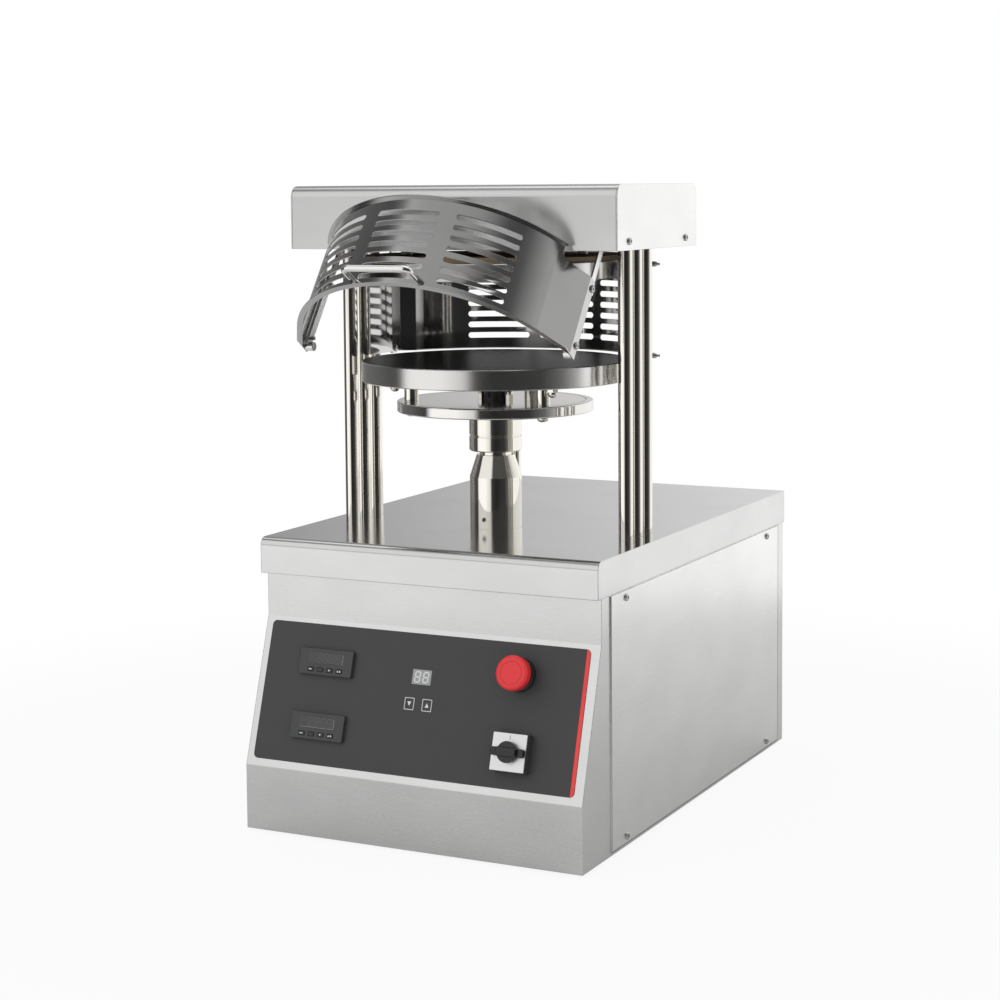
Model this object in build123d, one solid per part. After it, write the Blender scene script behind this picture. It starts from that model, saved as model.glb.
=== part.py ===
from build123d import *
import math
import os

# A countertop pizza dough press: a sheet-metal base with a sloped control panel, six polished
# columns, a fixed heated platen under a hollow head, and a heated platen on a screw-driven ram.
# A slotted guard hangs from the head in front of the platens and swings up on two pins.
# While it is drawn, x is centred, y runs back from the front of the base and z is the height
# over the underside of the base. Everything is moved to the final origin when it is written.

# Platens and their stack, from the worktop up
PLATEN_R = 167.0
LOWER_PLATEN_T = 25.0
UPPER_PLATEN_T = 21.6
DAYLIGHT = 103.4
PRESS_GAP = 1.4
INSULATION_T = 6.2
INSULATION_EDGE = 4.0
STANDOFF_H = 25.5
STANDOFF_R = 9.0
STANDOFF_CIRCLE_R = 105.0
STANDOFF_ANGLES = (90.0, 210.0, 330.0)
DISC_R = 123.0
DISC_T = 13.4
DISC_EDGE = 1.5
DISC_GROOVE_R = 113.0
COLLAR_R = 33.0
COLLAR_H = 50.6
COLLAR_GROOVE_Z = 19.5
RAM_REST_GAP = 5.0
BUSH_R = 32.7
BUSH_TOP_R = 23.8
BUSH_CYLINDER_H = 64.4
BUSH_CONE_H = 27.4
SET_SCREW_UP = 12.0
SET_SCREW_R = 3.3
PLATEN_NUT_CIRCLE_R = 125.5
PLATEN_NUT_AF = 12.6
PLATEN_NUT_H = 14.3
PLATEN_NUT_HEX_H = 7.5
DISC_BOLT_R = 7.3
DISC_BOLT_H = 6.4
RAM_NUT_R = 14.5
RAM_NUT_H = 13.0
SIDE_NUT_AF = 8.6
SIDE_NUT_H = 12.0
SIDE_NUT_HEX_H = 7.0
HANGER_H = 11.4
HANGER_R = 7.0
HANGER_X = 105.0
HANGER_Y = 35.0

# Ram, screw and drive
RAM_R = 20.0
SCREW_R = 14.0
RUNNING_FIT = 0.05
GUIDE_ROD_R = 6.0
GUIDE_ROD_Y = 58.0
ROD_GRIP = 10.0
BEARING_H = 28.0
BEARING_R = 48.0
NUT_SPIGOT_R = 27.0
NUT_SPIGOT_H = 15.0
NUT_HUB_H = 40.0
DRIVEN_PULLEY_R = 40.0
PULLEY_FACE_W = 20.0
PULLEY_RIM_T = 3.0
FACE_GAP = 0.3
BELT_T = 4.0
BELT_W = 16.0
MOTOR_PULLEY_R = 25.0
MOTOR_R = 55.0
MOTOR_L = 150.0
MOTOR_SHAFT_R = 8.0
MOTOR_OFFSET_Y = 178.0
BRACKET_T = 6.0
BRACKET_HALF_W = 70.0

# Columns, frame plate and legs
COLUMN_R = 9.0
COLUMN_GAP = 14.6
COLUMN_PITCH = 30.3
COLUMN_SLIP = 0.3
NUT_H = 13.0
NUT_AF = 24.0
THREAD_STUB = 4.0
FRAME_PLATE_T = 16.0
FRAME_PLATE_DROP = 46.0
FRAME_PLATE_FRONT = 75.0
FRAME_PLATE_REAR = 250.0
LEG_W = 30.0
LEG_WALL = 2.5

# Base casing
SHEET = 1.5
SIDE_MARGIN = 34.4
FRONT_MARGIN = 70.4
REAR_MARGIN = 277.6
BASE_H = 352.3
FOOT_H = 4.0
FOOT_R = 15.0
FOOT_INSET = 30.0
LOWER_BAND_H = 79.0
SLOPE_RUN = 56.0
SLOPE_RISE = 175.5
RETURN_FRONT_L = 140.0
RETURN_REAR_L = 84.0
SIDE_COVER_FRONT = 80.0
SIDE_COVER_REAR = 23.5
SIDE_COVER_LIFT = 4.0
SKIRT_H = 44.0
SKIRT_GAP = 1.7
COVER_OVERLAP = 1.6
COVER_NOSE = 13.0
COVER_EDGE_R = 10.0
PAN_LIP_H = 30.0
TONGUE_H = 16.0

# Head
HEAD_FRONT_RUN = 121.8
HEAD_REAR_RUN = 126.2
HEAD_H = 77.5
HEAD_DROP = 2.5
HEAD_SIDE_GAP = 4.7
HEAD_EDGE_R = 14.0
CROSSHEAD_T = 22.0
CROSSHEAD_FRONT = 49.5
CROSSHEAD_REAR = 75.5
END_BAR_W = 13.8
END_BAR_FRONT = 107.5
END_BAR_REAR = 110.5

# Cover screws
SCREW_HEAD_R = 4.5
SCREW_HEAD_H = 2.4
SCREW_SHANK_R = 2.4
SCREW_HOLE_R = 2.7
SCREW_L = 8.0
SIDE_SCREW_FRONT = 124.0
SIDE_SCREW_REAR = 612.0
SIDE_SCREW_LOW_Z = 13.0
SIDE_SCREW_TOP_DROP = 8.0
HEAD_SCREW_FRONT = 87.0
HEAD_SCREW_REAR = 90.0
HEAD_SCREW_Z = 10.7

# Slotted guards, drawn around the platen's own circle
GUARD_SHEET = 1.2
GUARD_R = 176.0
GUARD_H = 122.7
GUARD_FOLD_ANGLE = 28.0
GUARD_STRIP_X = 180.0
GUARD_STRIP_FRONT = 35.3
GUARD_STRIP_W = 14.0
GUARD_FLANGE_TOP = 4.0
GUARD_FLANGE_LOW = 6.0
GUARD_WING_TOP = 105.7
GUARD_STEP_TOP = 111.0
GUARD_STEP_FRONT = 5.8
GUARD_STEP_REAR = 13.5
GUARD_MITRE = 0.2
SLOT_ROWS = 7
SLOT_PITCH = 14.5
SLOT_FIRST_Z = 14.2
SLOT_H = 7.4
REAR_SLOT_PITCH = 14.2
REAR_SLOT_FIRST_Z = 17.5
FRONT_SLOT_GROUPS = ((-136.2, -109.8), (-103.2, -76.8), (-70.2, -43.8))
REAR_SLOT_GROUPS = ((41.0, 68.0), (72.0, 97.5), (102.0, 127.5))
GUARD_OPEN_ANGLE = 35.5
PIVOT_BEHIND_CENTRE = -25.5
PIVOT_OVER_RIM = 162.5
PIVOT_BEFORE_AXIS = 65.2
PIVOT_UP = 7.5
PIVOT_R = 4.0
ARM_W = 10.0
ARM_T = 2.0
ARM_FOOT_R = 5.5
ARM_FOOT_L = 8.0
GUARD_SCREW_LOW = 17.0
GUARD_SCREW_HIGH = 95.0
HANDLE_WIRE_R = 4.0
HANDLE_HALF_W = 42.0
HANDLE_SPLAY = 2.0
HANDLE_REACH = 27.0
HANDLE_FOOT_Z = 8.5
HANDLE_BAR_Z = 5.0
HANDLE_BEND_R = 8.0
REAR_GUARD_R = 185.0
REAR_GUARD_UP = 0.4
REAR_FOLD_ANGLE = 29.0
REAR_STRIP_GAP = 1.6
REAR_STRIP_REAR = 79.0
REAR_STRIP_L = 79.0
REAR_MITRE = 0.55
REAR_ARM_BEHIND = 66.0
REAR_ARM_W = 13.0
REAR_ARM_T = 3.0
REAR_SCREW_LOW = 4.5
REAR_SCREW_HIGH = 118.0
REAR_SCREW_CAP_R = 3.3
REAR_SCREW_CAP_L = 7.0
REAR_SCREW_TIP_L = 5.0

# Control panel, in the plane of the slope: x across, s up the slope
OVERLAY_T = 0.8
OVERLAY_LEFT = 9.0
OVERLAY_RIGHT = 12.0
OVERLAY_LOW = 9.0
OVERLAY_HIGH = 178.0
OVERLAY_CORNER_R = 6.0
CONTROLLER_W = 74.0
CONTROLLER_H = 32.0
CONTROLLER_BEZEL_T = 5.0
CONTROLLER_BODY_W = 70.6
CONTROLLER_BODY_H = 28.6
CONTROLLER_BODY_L = 58.0
CONTROLLER_FROM_LEFT = 94.0
UPPER_CONTROLLER_S = 132.0
LOWER_CONTROLLER_S = 54.6
WINDOW_W = 52.0
WINDOW_H = 14.0
WINDOW_T = 1.2
WINDOW_UP = 4.6
KEY_W = 8.5
KEY_H = 4.6
KEY_PITCH = 13.2
KEY_DOWN = 9.6
KEY_T = 2.8
KEY_PROUD = 0.9
KEY_TRAVEL = 0.6
KEY_GAP = 0.35
KEY_POCKET = 3.4
KEYS_PER_CONTROLLER = 4
TIMER_W = 25.7
TIMER_H = 18.2
TIMER_S = 126.5
TIMER_FROM_CENTRE = -0.5
ESTOP_FROM_RIGHT = 97.5
ESTOP_S = 141.0
ESTOP_COLLAR_R = 20.0
ESTOP_COLLAR_H = 8.0
ESTOP_NECK_R = 11.0
ESTOP_BODY_W = 32.0
ESTOP_BODY_L = 48.0
ESTOP_HEAD_R = 20.5
ESTOP_HEAD_LOW = 14.6
ESTOP_HEAD_HIGH = 27.0
ESTOP_TRAVEL = 5.0
PLUNGER_R = 7.0
PLUNGER_L = 26.0
SWITCH_S = 51.0
SWITCH_FROM_RIGHT = 94.0
SWITCH_BASE_W = 45.0
SWITCH_BASE_T = 12.0
SWITCH_PLATE_W = 43.4
SWITCH_PLATE_T = 1.2
SWITCH_BODY_R = 15.0
SWITCH_BODY_L = 45.0
KNOB_R = 12.5
KNOB_BASE_H = 6.5
KNOB_LEVER_L = 42.4
KNOB_LEVER_W = 10.0
KNOB_LEVER_H = 5.0
KNOB_GRIP_L = 26.0
KNOB_GRIP_W = 11.0
KNOB_H = 9.5
KNOB_GAP = 0.4
SPINDLE_R = 3.0

# Electrics
EBOX_W = 150.0
EBOX_D = 110.0
EBOX_H = 180.0
EBOX_FROM_REAR = 40.0
EBOX_FROM_SIDE = 26.0
GLAND_Z = 60.0
GLAND_R = 9.0
GLAND_BORE_R = 4.5
GLAND_OUT_L = 16.0
GLAND_IN_L = 12.0

# Places that follow from the sizes above
COLUMN_X = PLATEN_R + COLUMN_GAP + COLUMN_R
HALF_W = COLUMN_X + SIDE_MARGIN
AXIS_Y = PLATEN_R + FRONT_MARGIN
BODY_D = AXIS_Y + PLATEN_R + REAR_MARGIN
COLUMN_YS = tuple(AXIS_Y + k * COLUMN_PITCH for k in (-1, 0, 1))
BUSH_TOP_Z = BASE_H + BUSH_CYLINDER_H + BUSH_CONE_H
COLLAR_Z = BUSH_TOP_Z + RAM_REST_GAP
DISC_Z = COLLAR_Z + COLLAR_H
LOWER_PLATEN_Z = DISC_Z + DISC_T + STANDOFF_H
PRESS_Z = LOWER_PLATEN_Z + LOWER_PLATEN_T
UPPER_PLATEN_Z = PRESS_Z + DAYLIGHT
STROKE = DAYLIGHT - PRESS_GAP
INSULATION_Z = UPPER_PLATEN_Z + UPPER_PLATEN_T
HANGER_Z = INSULATION_Z + INSULATION_T
CROSSHEAD_Z = HANGER_Z + HANGER_H
HEAD_Z = CROSSHEAD_Z - HEAD_DROP
FRAME_TOP_Z = BASE_H - FRAME_PLATE_DROP
FRAME_Z = FRAME_TOP_Z - FRAME_PLATE_T
BEARING_Z = FRAME_Z - BEARING_H
NUT_Z = BEARING_Z - NUT_HUB_H - FACE_GAP
BELT_Z = NUT_Z + PULLEY_RIM_T + 2.0
RAM_BOTTOM_Z = BEARING_Z + NUT_SPIGOT_H + 4.0
SCREW_BOTTOM_Z = NUT_Z - STROKE - 4.0
MOTOR_Y = AXIS_Y + MOTOR_OFFSET_Y
MOTOR_TOP_Z = NUT_Z - 10.0
SLOPE_ANGLE = math.degrees(math.atan2(SLOPE_RUN, SLOPE_RISE))
SLOPE_L = math.hypot(SLOPE_RUN, SLOPE_RISE)
COVER_HALF_W = HALF_W + COVER_OVERLAP
COVER_FRONT_Y = SLOPE_RUN - COVER_NOSE
COVER_REAR_Y = BODY_D + COVER_OVERLAP
COVER_Z = BASE_H - SKIRT_H
HEAD_HALF_W = HALF_W - HEAD_SIDE_GAP
END_BAR_X = HEAD_HALF_W - SHEET - END_BAR_W
PIVOT_Y = AXIS_Y - PIVOT_BEFORE_AXIS
PIVOT_Z = CROSSHEAD_Z + PIVOT_UP
REAR_GUARD_Z = PRESS_Z + REAR_GUARD_UP
STRIP_X = GUARD_STRIP_X - 167.0 + PLATEN_R
ARM_X = STRIP_X - GUARD_SHEET
REAR_STRIP = COLUMN_X - COLUMN_R - REAR_STRIP_GAP
FRONT_R = GUARD_R - 167.0 + PLATEN_R
REAR_R = REAR_GUARD_R - 167.0 + PLATEN_R

PANEL = Plane(
    origin=(0, 0, LOWER_BAND_H),
    x_dir=(1, 0, 0),
    z_dir=(0, -math.cos(math.radians(SLOPE_ANGLE)), math.sin(math.radians(SLOPE_ANGLE))),
)
CONTROLLER_X = -HALF_W + CONTROLLER_FROM_LEFT
ESTOP_X = HALF_W - ESTOP_FROM_RIGHT
SWITCH_X = HALF_W - SWITCH_FROM_RIGHT
SWITCH_FACE = OVERLAY_T + SWITCH_BASE_T + SWITCH_PLATE_T

os.makedirs("parts", exist_ok=True)
made = {}


def box(x0, x1, y0, y1, z0, z1):
    """A box between two corners."""
    return Pos((x0 + x1) / 2, (y0 + y1) / 2, (z0 + z1) / 2) * Box(x1 - x0, y1 - y0, z1 - z0)


def upright(x, y, z0, z1, r):
    """A round bar that stands on z0 and ends at z1."""
    return Pos(x, y, (z0 + z1) / 2) * Cylinder(r, z1 - z0)


def bar_x(x0, x1, y, z, r):
    """A round bar along x."""
    return Pos((x0 + x1) / 2, y, z) * Rot(0, 90, 0) * Cylinder(r, abs(x1 - x0))


def bar_y(y0, y1, x, z, r):
    """A round bar along y."""
    return Pos(x, (y0 + y1) / 2, z) * Rot(90, 0, 0) * Cylinder(r, abs(y1 - y0))


def hexagon(x, y, z0, z1, across_flats):
    """A hexagonal nut blank that stands on z0."""
    outline = RegularPolygon(across_flats / 2, 6, major_radius=False)
    return Pos(x, y, z0) * extrude(outline, z1 - z0)


def inset(points, step):
    """The same open line moved sideways by step, to the left of its own direction."""
    moved = []
    for i, (y, z) in enumerate(points):
        normals = []
        if i > 0:
            normals.append(side_normal(points[i - 1], points[i]))
        if i < len(points) - 1:
            normals.append(side_normal(points[i], points[i + 1]))
        a, b = normals[0], normals[-1]
        scale = step / (1 + a[0] * b[0] + a[1] * b[1])
        moved.append((y + (a[0] + b[0]) * scale, z + (a[1] + b[1]) * scale))
    return moved


def side_normal(a, b):
    """The unit normal to the left of the line from a to b."""
    run, rise = b[0] - a[0], b[1] - a[1]
    length = math.hypot(run, rise)
    return -rise / length, run / length


def profile_x(points, x0, x1):
    """A closed outline in the y-z plane, carried from x0 to x1."""
    outline = Plane.YZ.offset(x0) * make_face(Polyline(*points, close=True))
    return extrude(outline, x1 - x0)


def on_panel(x, s, shape):
    """A shape drawn at the origin, set on the sloped panel at x and s."""
    return PANEL * (Pos(x, s, 0) * shape)


def block(w, h, low, high, corner=0.0):
    """A plate w by h about the origin, from low to high, with round corners."""
    outline = RectangleRounded(w, h, corner) if corner else Rectangle(w, h)
    return Pos(0, 0, low) * extrude(outline, high - low)


def drum(r, low, high):
    """A round plate about the origin, from low to high."""
    return Pos(0, 0, low) * extrude(Circle(r), high - low)


def ring_of(radius, angles):
    """Points on the platen's circle, measured from its axis."""
    for angle in angles:
        turn = math.radians(angle)
        yield radius * math.cos(turn), AXIS_Y + radius * math.sin(turn)


def group(shapes):
    """Several separate solids that share one node."""
    return Compound(children=[solid for shape in shapes for solid in shape.solids()])


def keep(name, shape):
    """Remember a finished piece under its node name."""
    made[name] = shape


# Base casing

FRONT_LINE = [
    (0, 0),
    (0, LOWER_BAND_H),
    (SLOPE_RUN, LOWER_BAND_H + SLOPE_RISE),
    (SLOPE_RUN, BASE_H - SHEET),
]


def panel_cutouts():
    """Everything that passes through the sloped panel and its overlay."""
    low, high = -3 * SHEET, OVERLAY_T + 1
    cuts = []
    for s in (UPPER_CONTROLLER_S, LOWER_CONTROLLER_S):
        cuts.append(on_panel(CONTROLLER_X, s, block(CONTROLLER_BODY_W, CONTROLLER_BODY_H, low, high)))
    cuts.append(on_panel(TIMER_FROM_CENTRE, TIMER_S, block(TIMER_W, TIMER_H, low, high)))
    cuts.append(on_panel(ESTOP_X, ESTOP_S, drum(ESTOP_NECK_R, low, high)))
    cuts.append(on_panel(SWITCH_X, SWITCH_S, drum(SWITCH_BODY_R, low, high)))
    return cuts


def front_fascia():
    """Front sheet with its slope and two side returns, open behind."""
    back = RETURN_FRONT_L
    outer = profile_x(FRONT_LINE + [(back, BASE_H - SHEET), (back, 0)], -HALF_W, HALF_W)
    inner_line = inset(FRONT_LINE, -SHEET)
    low, high = inner_line[0], inner_line[-1]
    hollow = [(low[0], -1)] + inner_line[1:-1] + [(high[0], BASE_H), (back + 1, BASE_H), (back + 1, -1)]
    body = outer - profile_x(hollow, -HALF_W + SHEET, HALF_W - SHEET)
    body -= side_screw_holes(SIDE_SCREW_FRONT)
    return body - panel_cutouts()


def side_screw_points(y):
    """The low and high screw of a side cover at one depth."""
    return ((y, SIDE_SCREW_LOW_Z), (y, COVER_Z - SKIRT_GAP - SIDE_SCREW_TOP_DROP))


def side_screw_y(rear):
    """Depth of the front or the rear pair of side cover screws."""
    return BODY_D - (682.0 - SIDE_SCREW_REAR) if rear else SIDE_SCREW_FRONT


def side_screw_holes(y):
    """Clearance holes right across the base for the screws at one depth."""
    return [bar_x(-HALF_W - 5, HALF_W + 5, py, pz, SCREW_HOLE_R) for py, pz in side_screw_points(y)]


def rear_panel():
    """Rear sheet with two side returns and the hole of the mains gland."""
    front = BODY_D - RETURN_REAR_L
    outer = box(-HALF_W, HALF_W, front, BODY_D, 0, BASE_H - SHEET)
    inner = box(-HALF_W + SHEET, HALF_W - SHEET, front - 1, BODY_D - SHEET, -1, BASE_H)
    body = outer - inner - side_screw_holes(side_screw_y(True))
    body -= bar_y(BODY_D - 3 * SHEET, BODY_D + 1, gland_x(), GLAND_Z, GLAND_R)
    louvres = []
    for side in (-1, 1):
        for k in range(7):
            z = BASE_H / 2 + k * 14.0
            louvres.append(box(side * 95 - 45, side * 95 + 45, BODY_D - 2 * SHEET, BODY_D + 1, z, z + 4))
    return body - louvres


def floor_pan():
    """Bottom sheet with two upturned side lips behind the side covers."""
    pan = box(-HALF_W + SHEET, HALF_W - SHEET, SHEET, BODY_D - SHEET, 0, SHEET)
    lip_front, lip_rear = RETURN_FRONT_L, BODY_D - RETURN_REAR_L
    for side in (-1, 1):
        inner, outer = side * (HALF_W - 2 * SHEET), side * HALF_W
        pan += box(min(inner, outer), max(inner, outer), lip_front, lip_rear, 0, SHEET)
        inner = side * (HALF_W - SHEET)
        pan += box(min(inner, outer), max(inner, outer), lip_front, lip_rear, 0, PAN_LIP_H)
    return pan


def foot_points():
    """The four corners where a foot stands."""
    for side in (-1, 1):
        for y in (FOOT_INSET, BODY_D - FOOT_INSET):
            yield side * (HALF_W - FOOT_INSET), y


def feet():
    """Four low rubber pads under the floor pan."""
    return group([upright(x, y, -FOOT_H, 0, FOOT_R) for x, y in foot_points()])


def side_cover(side):
    """Removable side sheet with a tongue that reaches up behind the worktop's skirt."""
    y0, y1 = SIDE_COVER_FRONT, BODY_D - SIDE_COVER_REAR
    top = COVER_Z - SKIRT_GAP
    sheet = box(HALF_W, HALF_W + SHEET, y0, y1, SIDE_COVER_LIFT, top)
    tongue_y0, tongue_y1 = RETURN_FRONT_L + 1, BODY_D - RETURN_REAR_L - 1
    tongue = box(HALF_W - SHEET, HALF_W, tongue_y0, tongue_y1, top - TONGUE_H, top + TONGUE_H)
    cover = sheet + tongue - side_screw_holes(SIDE_SCREW_FRONT) - side_screw_holes(side_screw_y(True))
    return cover if side > 0 else mirror(cover, Plane.YZ)


def pan_screw(x, y, z, side):
    """A pan-head screw that enters along x, with its head outside."""
    face = side * x
    head = bar_x(face, face + side * SCREW_HEAD_H, y, z, SCREW_HEAD_R)
    crown = head.faces().sort_by(Axis.X)[-1 if side > 0 else 0].edges()
    head = fillet(crown, SCREW_HEAD_H * 0.6)
    return head + bar_x(face - side * SCREW_L, face, y, z, SCREW_SHANK_R)


def cover_screws():
    """Screws of both side covers, both ends of the head and the rear guard."""
    screws = []
    for side in (-1, 1):
        for y in (SIDE_SCREW_FRONT, side_screw_y(True)):
            for py, pz in side_screw_points(y):
                screws.append(pan_screw(HALF_W + SHEET, py, pz, side))
        for y in head_screw_ys():
            screws.append(pan_screw(HEAD_HALF_W, y, HEAD_Z + HEAD_SCREW_Z, side))
    return group(screws + rear_guard_screws())


def cover_block(shrink, low):
    """The worktop's outer shape, shrunk all round, with its rolled front edge."""
    x = COVER_HALF_W - shrink
    shape = box(-x, x, COVER_FRONT_Y + shrink, COVER_REAR_Y - shrink, low, BASE_H - shrink)
    front = shape.faces().sort_by(Axis.Z)[-1].edges().sort_by(Axis.Y)[0]
    return fillet(front, COVER_EDGE_R - shrink)


def worktop_cover():
    """Worktop sheet with its skirts, drilled for the columns, the bush and the guide rod."""
    holes = [upright(x, y, COVER_Z, BASE_H + 1, COLUMN_R + COLUMN_SLIP) for x, y in column_points()]
    holes.append(upright(0, AXIS_Y, COVER_Z, BASE_H + 1, BUSH_R + COLUMN_SLIP))
    holes.append(upright(0, AXIS_Y + GUIDE_ROD_Y, COVER_Z, BASE_H + 1, GUIDE_ROD_R + 1.5))
    return cover_block(0, COVER_Z) - cover_block(SHEET, COVER_Z - 1) - holes


# Frame, columns and head

def column_points():
    """Plan positions of the six columns."""
    for side in (-1, 1):
        for y in COLUMN_YS:
            yield side * COLUMN_X, y


def columns():
    """Six polished columns from under the frame plate to above the crosshead."""
    low = FRAME_Z - NUT_H - THREAD_STUB
    high = CROSSHEAD_Z + CROSSHEAD_T + NUT_H + THREAD_STUB
    return group([upright(x, y, low, high, COLUMN_R) for x, y in column_points()])


def column_nuts():
    """A nut under the frame plate and one on the crosshead for each column."""
    nuts = []
    for x, y in column_points():
        for z in (FRAME_Z - NUT_H, CROSSHEAD_Z + CROSSHEAD_T):
            nuts.append(hexagon(x, y, z, z + NUT_H, NUT_AF) - upright(x, y, z - 1, z + NUT_H + 1, COLUMN_R))
    return group(nuts)


def frame_plate():
    """Thick steel plate inside the base that carries the columns, bush and drive."""
    x = COLUMN_X + 21.0
    plate = box(-x, x, AXIS_Y - FRAME_PLATE_FRONT, AXIS_Y + FRAME_PLATE_REAR, FRAME_Z, FRAME_TOP_Z)
    holes = [upright(px, py, FRAME_Z - 1, FRAME_TOP_Z + 1, COLUMN_R) for px, py in column_points()]
    holes.append(upright(0, AXIS_Y, FRAME_Z - 1, FRAME_TOP_Z + 1, BUSH_R - 2.0))
    rod_hole = GUIDE_ROD_R + RUNNING_FIT
    holes.append(upright(0, AXIS_Y + GUIDE_ROD_Y, FRAME_Z - 1, FRAME_TOP_Z + 1, rod_hole))
    return plate - holes


def leg_points():
    """Corners of the frame plate where a leg stands, clear of the column nuts."""
    for side in (-1, 1):
        for y in (AXIS_Y - FRAME_PLATE_FRONT + LEG_W / 2, AXIS_Y + FRAME_PLATE_REAR - LEG_W / 2):
            yield side * (COLUMN_X + 21.0 - LEG_W / 2), y


def frame_legs():
    """Four square tubes from the floor pan to the frame plate."""
    legs = []
    for x, y in leg_points():
        w = LEG_W / 2
        v = w - LEG_WALL
        tube = box(x - w, x + w, y - w, y + w, SHEET, FRAME_Z)
        legs.append(tube - box(x - v, x + v, y - v, y + v, SHEET - 1, FRAME_Z + 1))
    return group(legs)


def crosshead():
    """Thick plate across the column tops, with an end bar at each side that carries the cover."""
    mid = box(
        -END_BAR_X, END_BAR_X, AXIS_Y - CROSSHEAD_FRONT, AXIS_Y + CROSSHEAD_REAR,
        CROSSHEAD_Z, CROSSHEAD_Z + CROSSHEAD_T,
    )
    for side in (-1, 1):
        inner, outer = side * END_BAR_X, side * (END_BAR_X + END_BAR_W)
        mid += box(
            min(inner, outer), max(inner, outer), AXIS_Y - END_BAR_FRONT, AXIS_Y + END_BAR_REAR,
            CROSSHEAD_Z, CROSSHEAD_Z + CROSSHEAD_T,
        )
    top = CROSSHEAD_Z + CROSSHEAD_T + 1
    holes = [upright(x, y, CROSSHEAD_Z - 1, top, COLUMN_R) for x, y in column_points()]
    screw_z = HEAD_Z + HEAD_SCREW_Z
    reach = HEAD_HALF_W + 1
    holes += [bar_x(-reach, -END_BAR_X - 3, y, screw_z, SCREW_HOLE_R) for y in head_screw_ys()]
    holes += [bar_x(END_BAR_X + 3, reach, y, screw_z, SCREW_HOLE_R) for y in head_screw_ys()]
    return mid - holes


def head_screw_ys():
    """Depths of the two screws in each end of the head."""
    return (AXIS_Y - HEAD_SCREW_FRONT, AXIS_Y + HEAD_SCREW_REAR)


def head_block(x0, x1, shrink, low):
    """The outer shape of the head between two planes, shrunk all round."""
    y0, y1 = AXIS_Y - HEAD_FRONT_RUN + shrink, AXIS_Y + HEAD_REAR_RUN - shrink
    shape = box(x0, x1, y0, y1, low, HEAD_Z + HEAD_H - shrink)
    top = shape.faces().sort_by(Axis.Z)[-1].edges().filter_by(Axis.X)
    return fillet(top, HEAD_EDGE_R - shrink)


def head_cover():
    """Bent head sheet: front, top and back in one piece, open below and at both ends."""
    x = HEAD_HALF_W - SHEET
    return head_block(-x, x, 0, HEAD_Z) - head_block(-x - 1, x + 1, SHEET, HEAD_Z - 1)


def head_end_plates():
    """Flat end caps of the head, the same outline as the cover."""
    plates = []
    for side in (-1, 1):
        inner, outer = side * (HEAD_HALF_W - SHEET), side * HEAD_HALF_W
        plate = head_block(min(inner, outer), max(inner, outer), 0, HEAD_Z)
        for y in head_screw_ys():
            plate -= bar_x(inner - side, outer + side, y, HEAD_Z + HEAD_SCREW_Z, SCREW_HOLE_R)
        plates.append(plate)
    return group(plates)


# Fixed upper platen

def hanger_points():
    """Four studs that hang the upper platen from the crosshead."""
    for x in (-HANGER_X, HANGER_X):
        for y in (-HANGER_Y, HANGER_Y):
            yield x, AXIS_Y + y


def upper_platen():
    """Fixed heated platen with its working face down."""
    plate = upright(0, AXIS_Y, UPPER_PLATEN_Z, INSULATION_Z, PLATEN_R)
    return chamfer(plate.edges(), 1.0)


def insulation_disc():
    """Heat insulating board between the upper platen and its studs."""
    return upright(0, AXIS_Y, INSULATION_Z, HANGER_Z, PLATEN_R - INSULATION_EDGE)


def hanger_studs():
    """Short studs between the insulation and the crosshead."""
    return group([upright(x, y, HANGER_Z, CROSSHEAD_Z, HANGER_R) for x, y in hanger_points()])


# Ram and lower platen

def ram_shaft():
    """Round ram with the lift screw below it."""
    ram = upright(0, AXIS_Y, RAM_BOTTOM_Z, DISC_Z, RAM_R)
    screw = upright(0, AXIS_Y, SCREW_BOTTOM_Z, RAM_BOTTOM_Z, SCREW_R)
    return ram + screw


def ram_collar():
    """Collar under the disc, clamped on the ram, with one turned groove."""
    collar = upright(0, AXIS_Y, COLLAR_Z, DISC_Z, COLLAR_R)
    collar = chamfer(collar.edges().group_by(Axis.Z)[0], 1.5)
    groove_z = COLLAR_Z + COLLAR_GROOVE_Z
    groove = upright(0, AXIS_Y, groove_z - 1.2, groove_z + 1.2, COLLAR_R + 1)
    groove -= upright(0, AXIS_Y, groove_z - 2, groove_z + 2, COLLAR_R - 1.5)
    return collar - groove - upright(0, AXIS_Y, COLLAR_Z - 1, DISC_Z + 1, RAM_R)


def support_disc():
    """Polished disc on the ram, with a turned groove in its upper face."""
    disc = upright(0, AXIS_Y, DISC_Z, DISC_Z + DISC_T, DISC_R)
    disc = fillet(disc.edges(), DISC_EDGE)
    top = DISC_Z + DISC_T
    groove = upright(0, AXIS_Y, top - 1, top + 1, DISC_GROOVE_R + 1.5)
    groove -= upright(0, AXIS_Y, top - 2, top + 2, DISC_GROOVE_R)
    return disc - groove


def guide_rod():
    """Rod beside the ram that keeps it from turning, running in the frame plate."""
    y = AXIS_Y + GUIDE_ROD_Y
    return upright(0, y, FRAME_Z - STROKE - ROD_GRIP, DISC_Z, GUIDE_ROD_R)


def platen_standoffs():
    """Three turned spacers with a bolt head under the disc."""
    pieces = []
    for x, y in ring_of(STANDOFF_CIRCLE_R, STANDOFF_ANGLES):
        pieces.append(upright(x, y, DISC_Z + DISC_T, LOWER_PLATEN_Z, STANDOFF_R))
        head = upright(x, y, DISC_Z - DISC_BOLT_H, DISC_Z, DISC_BOLT_R)
        pieces.append(fillet(head.edges().group_by(Axis.Z)[0], DISC_BOLT_H * 0.7))
    return group(pieces)


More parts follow.
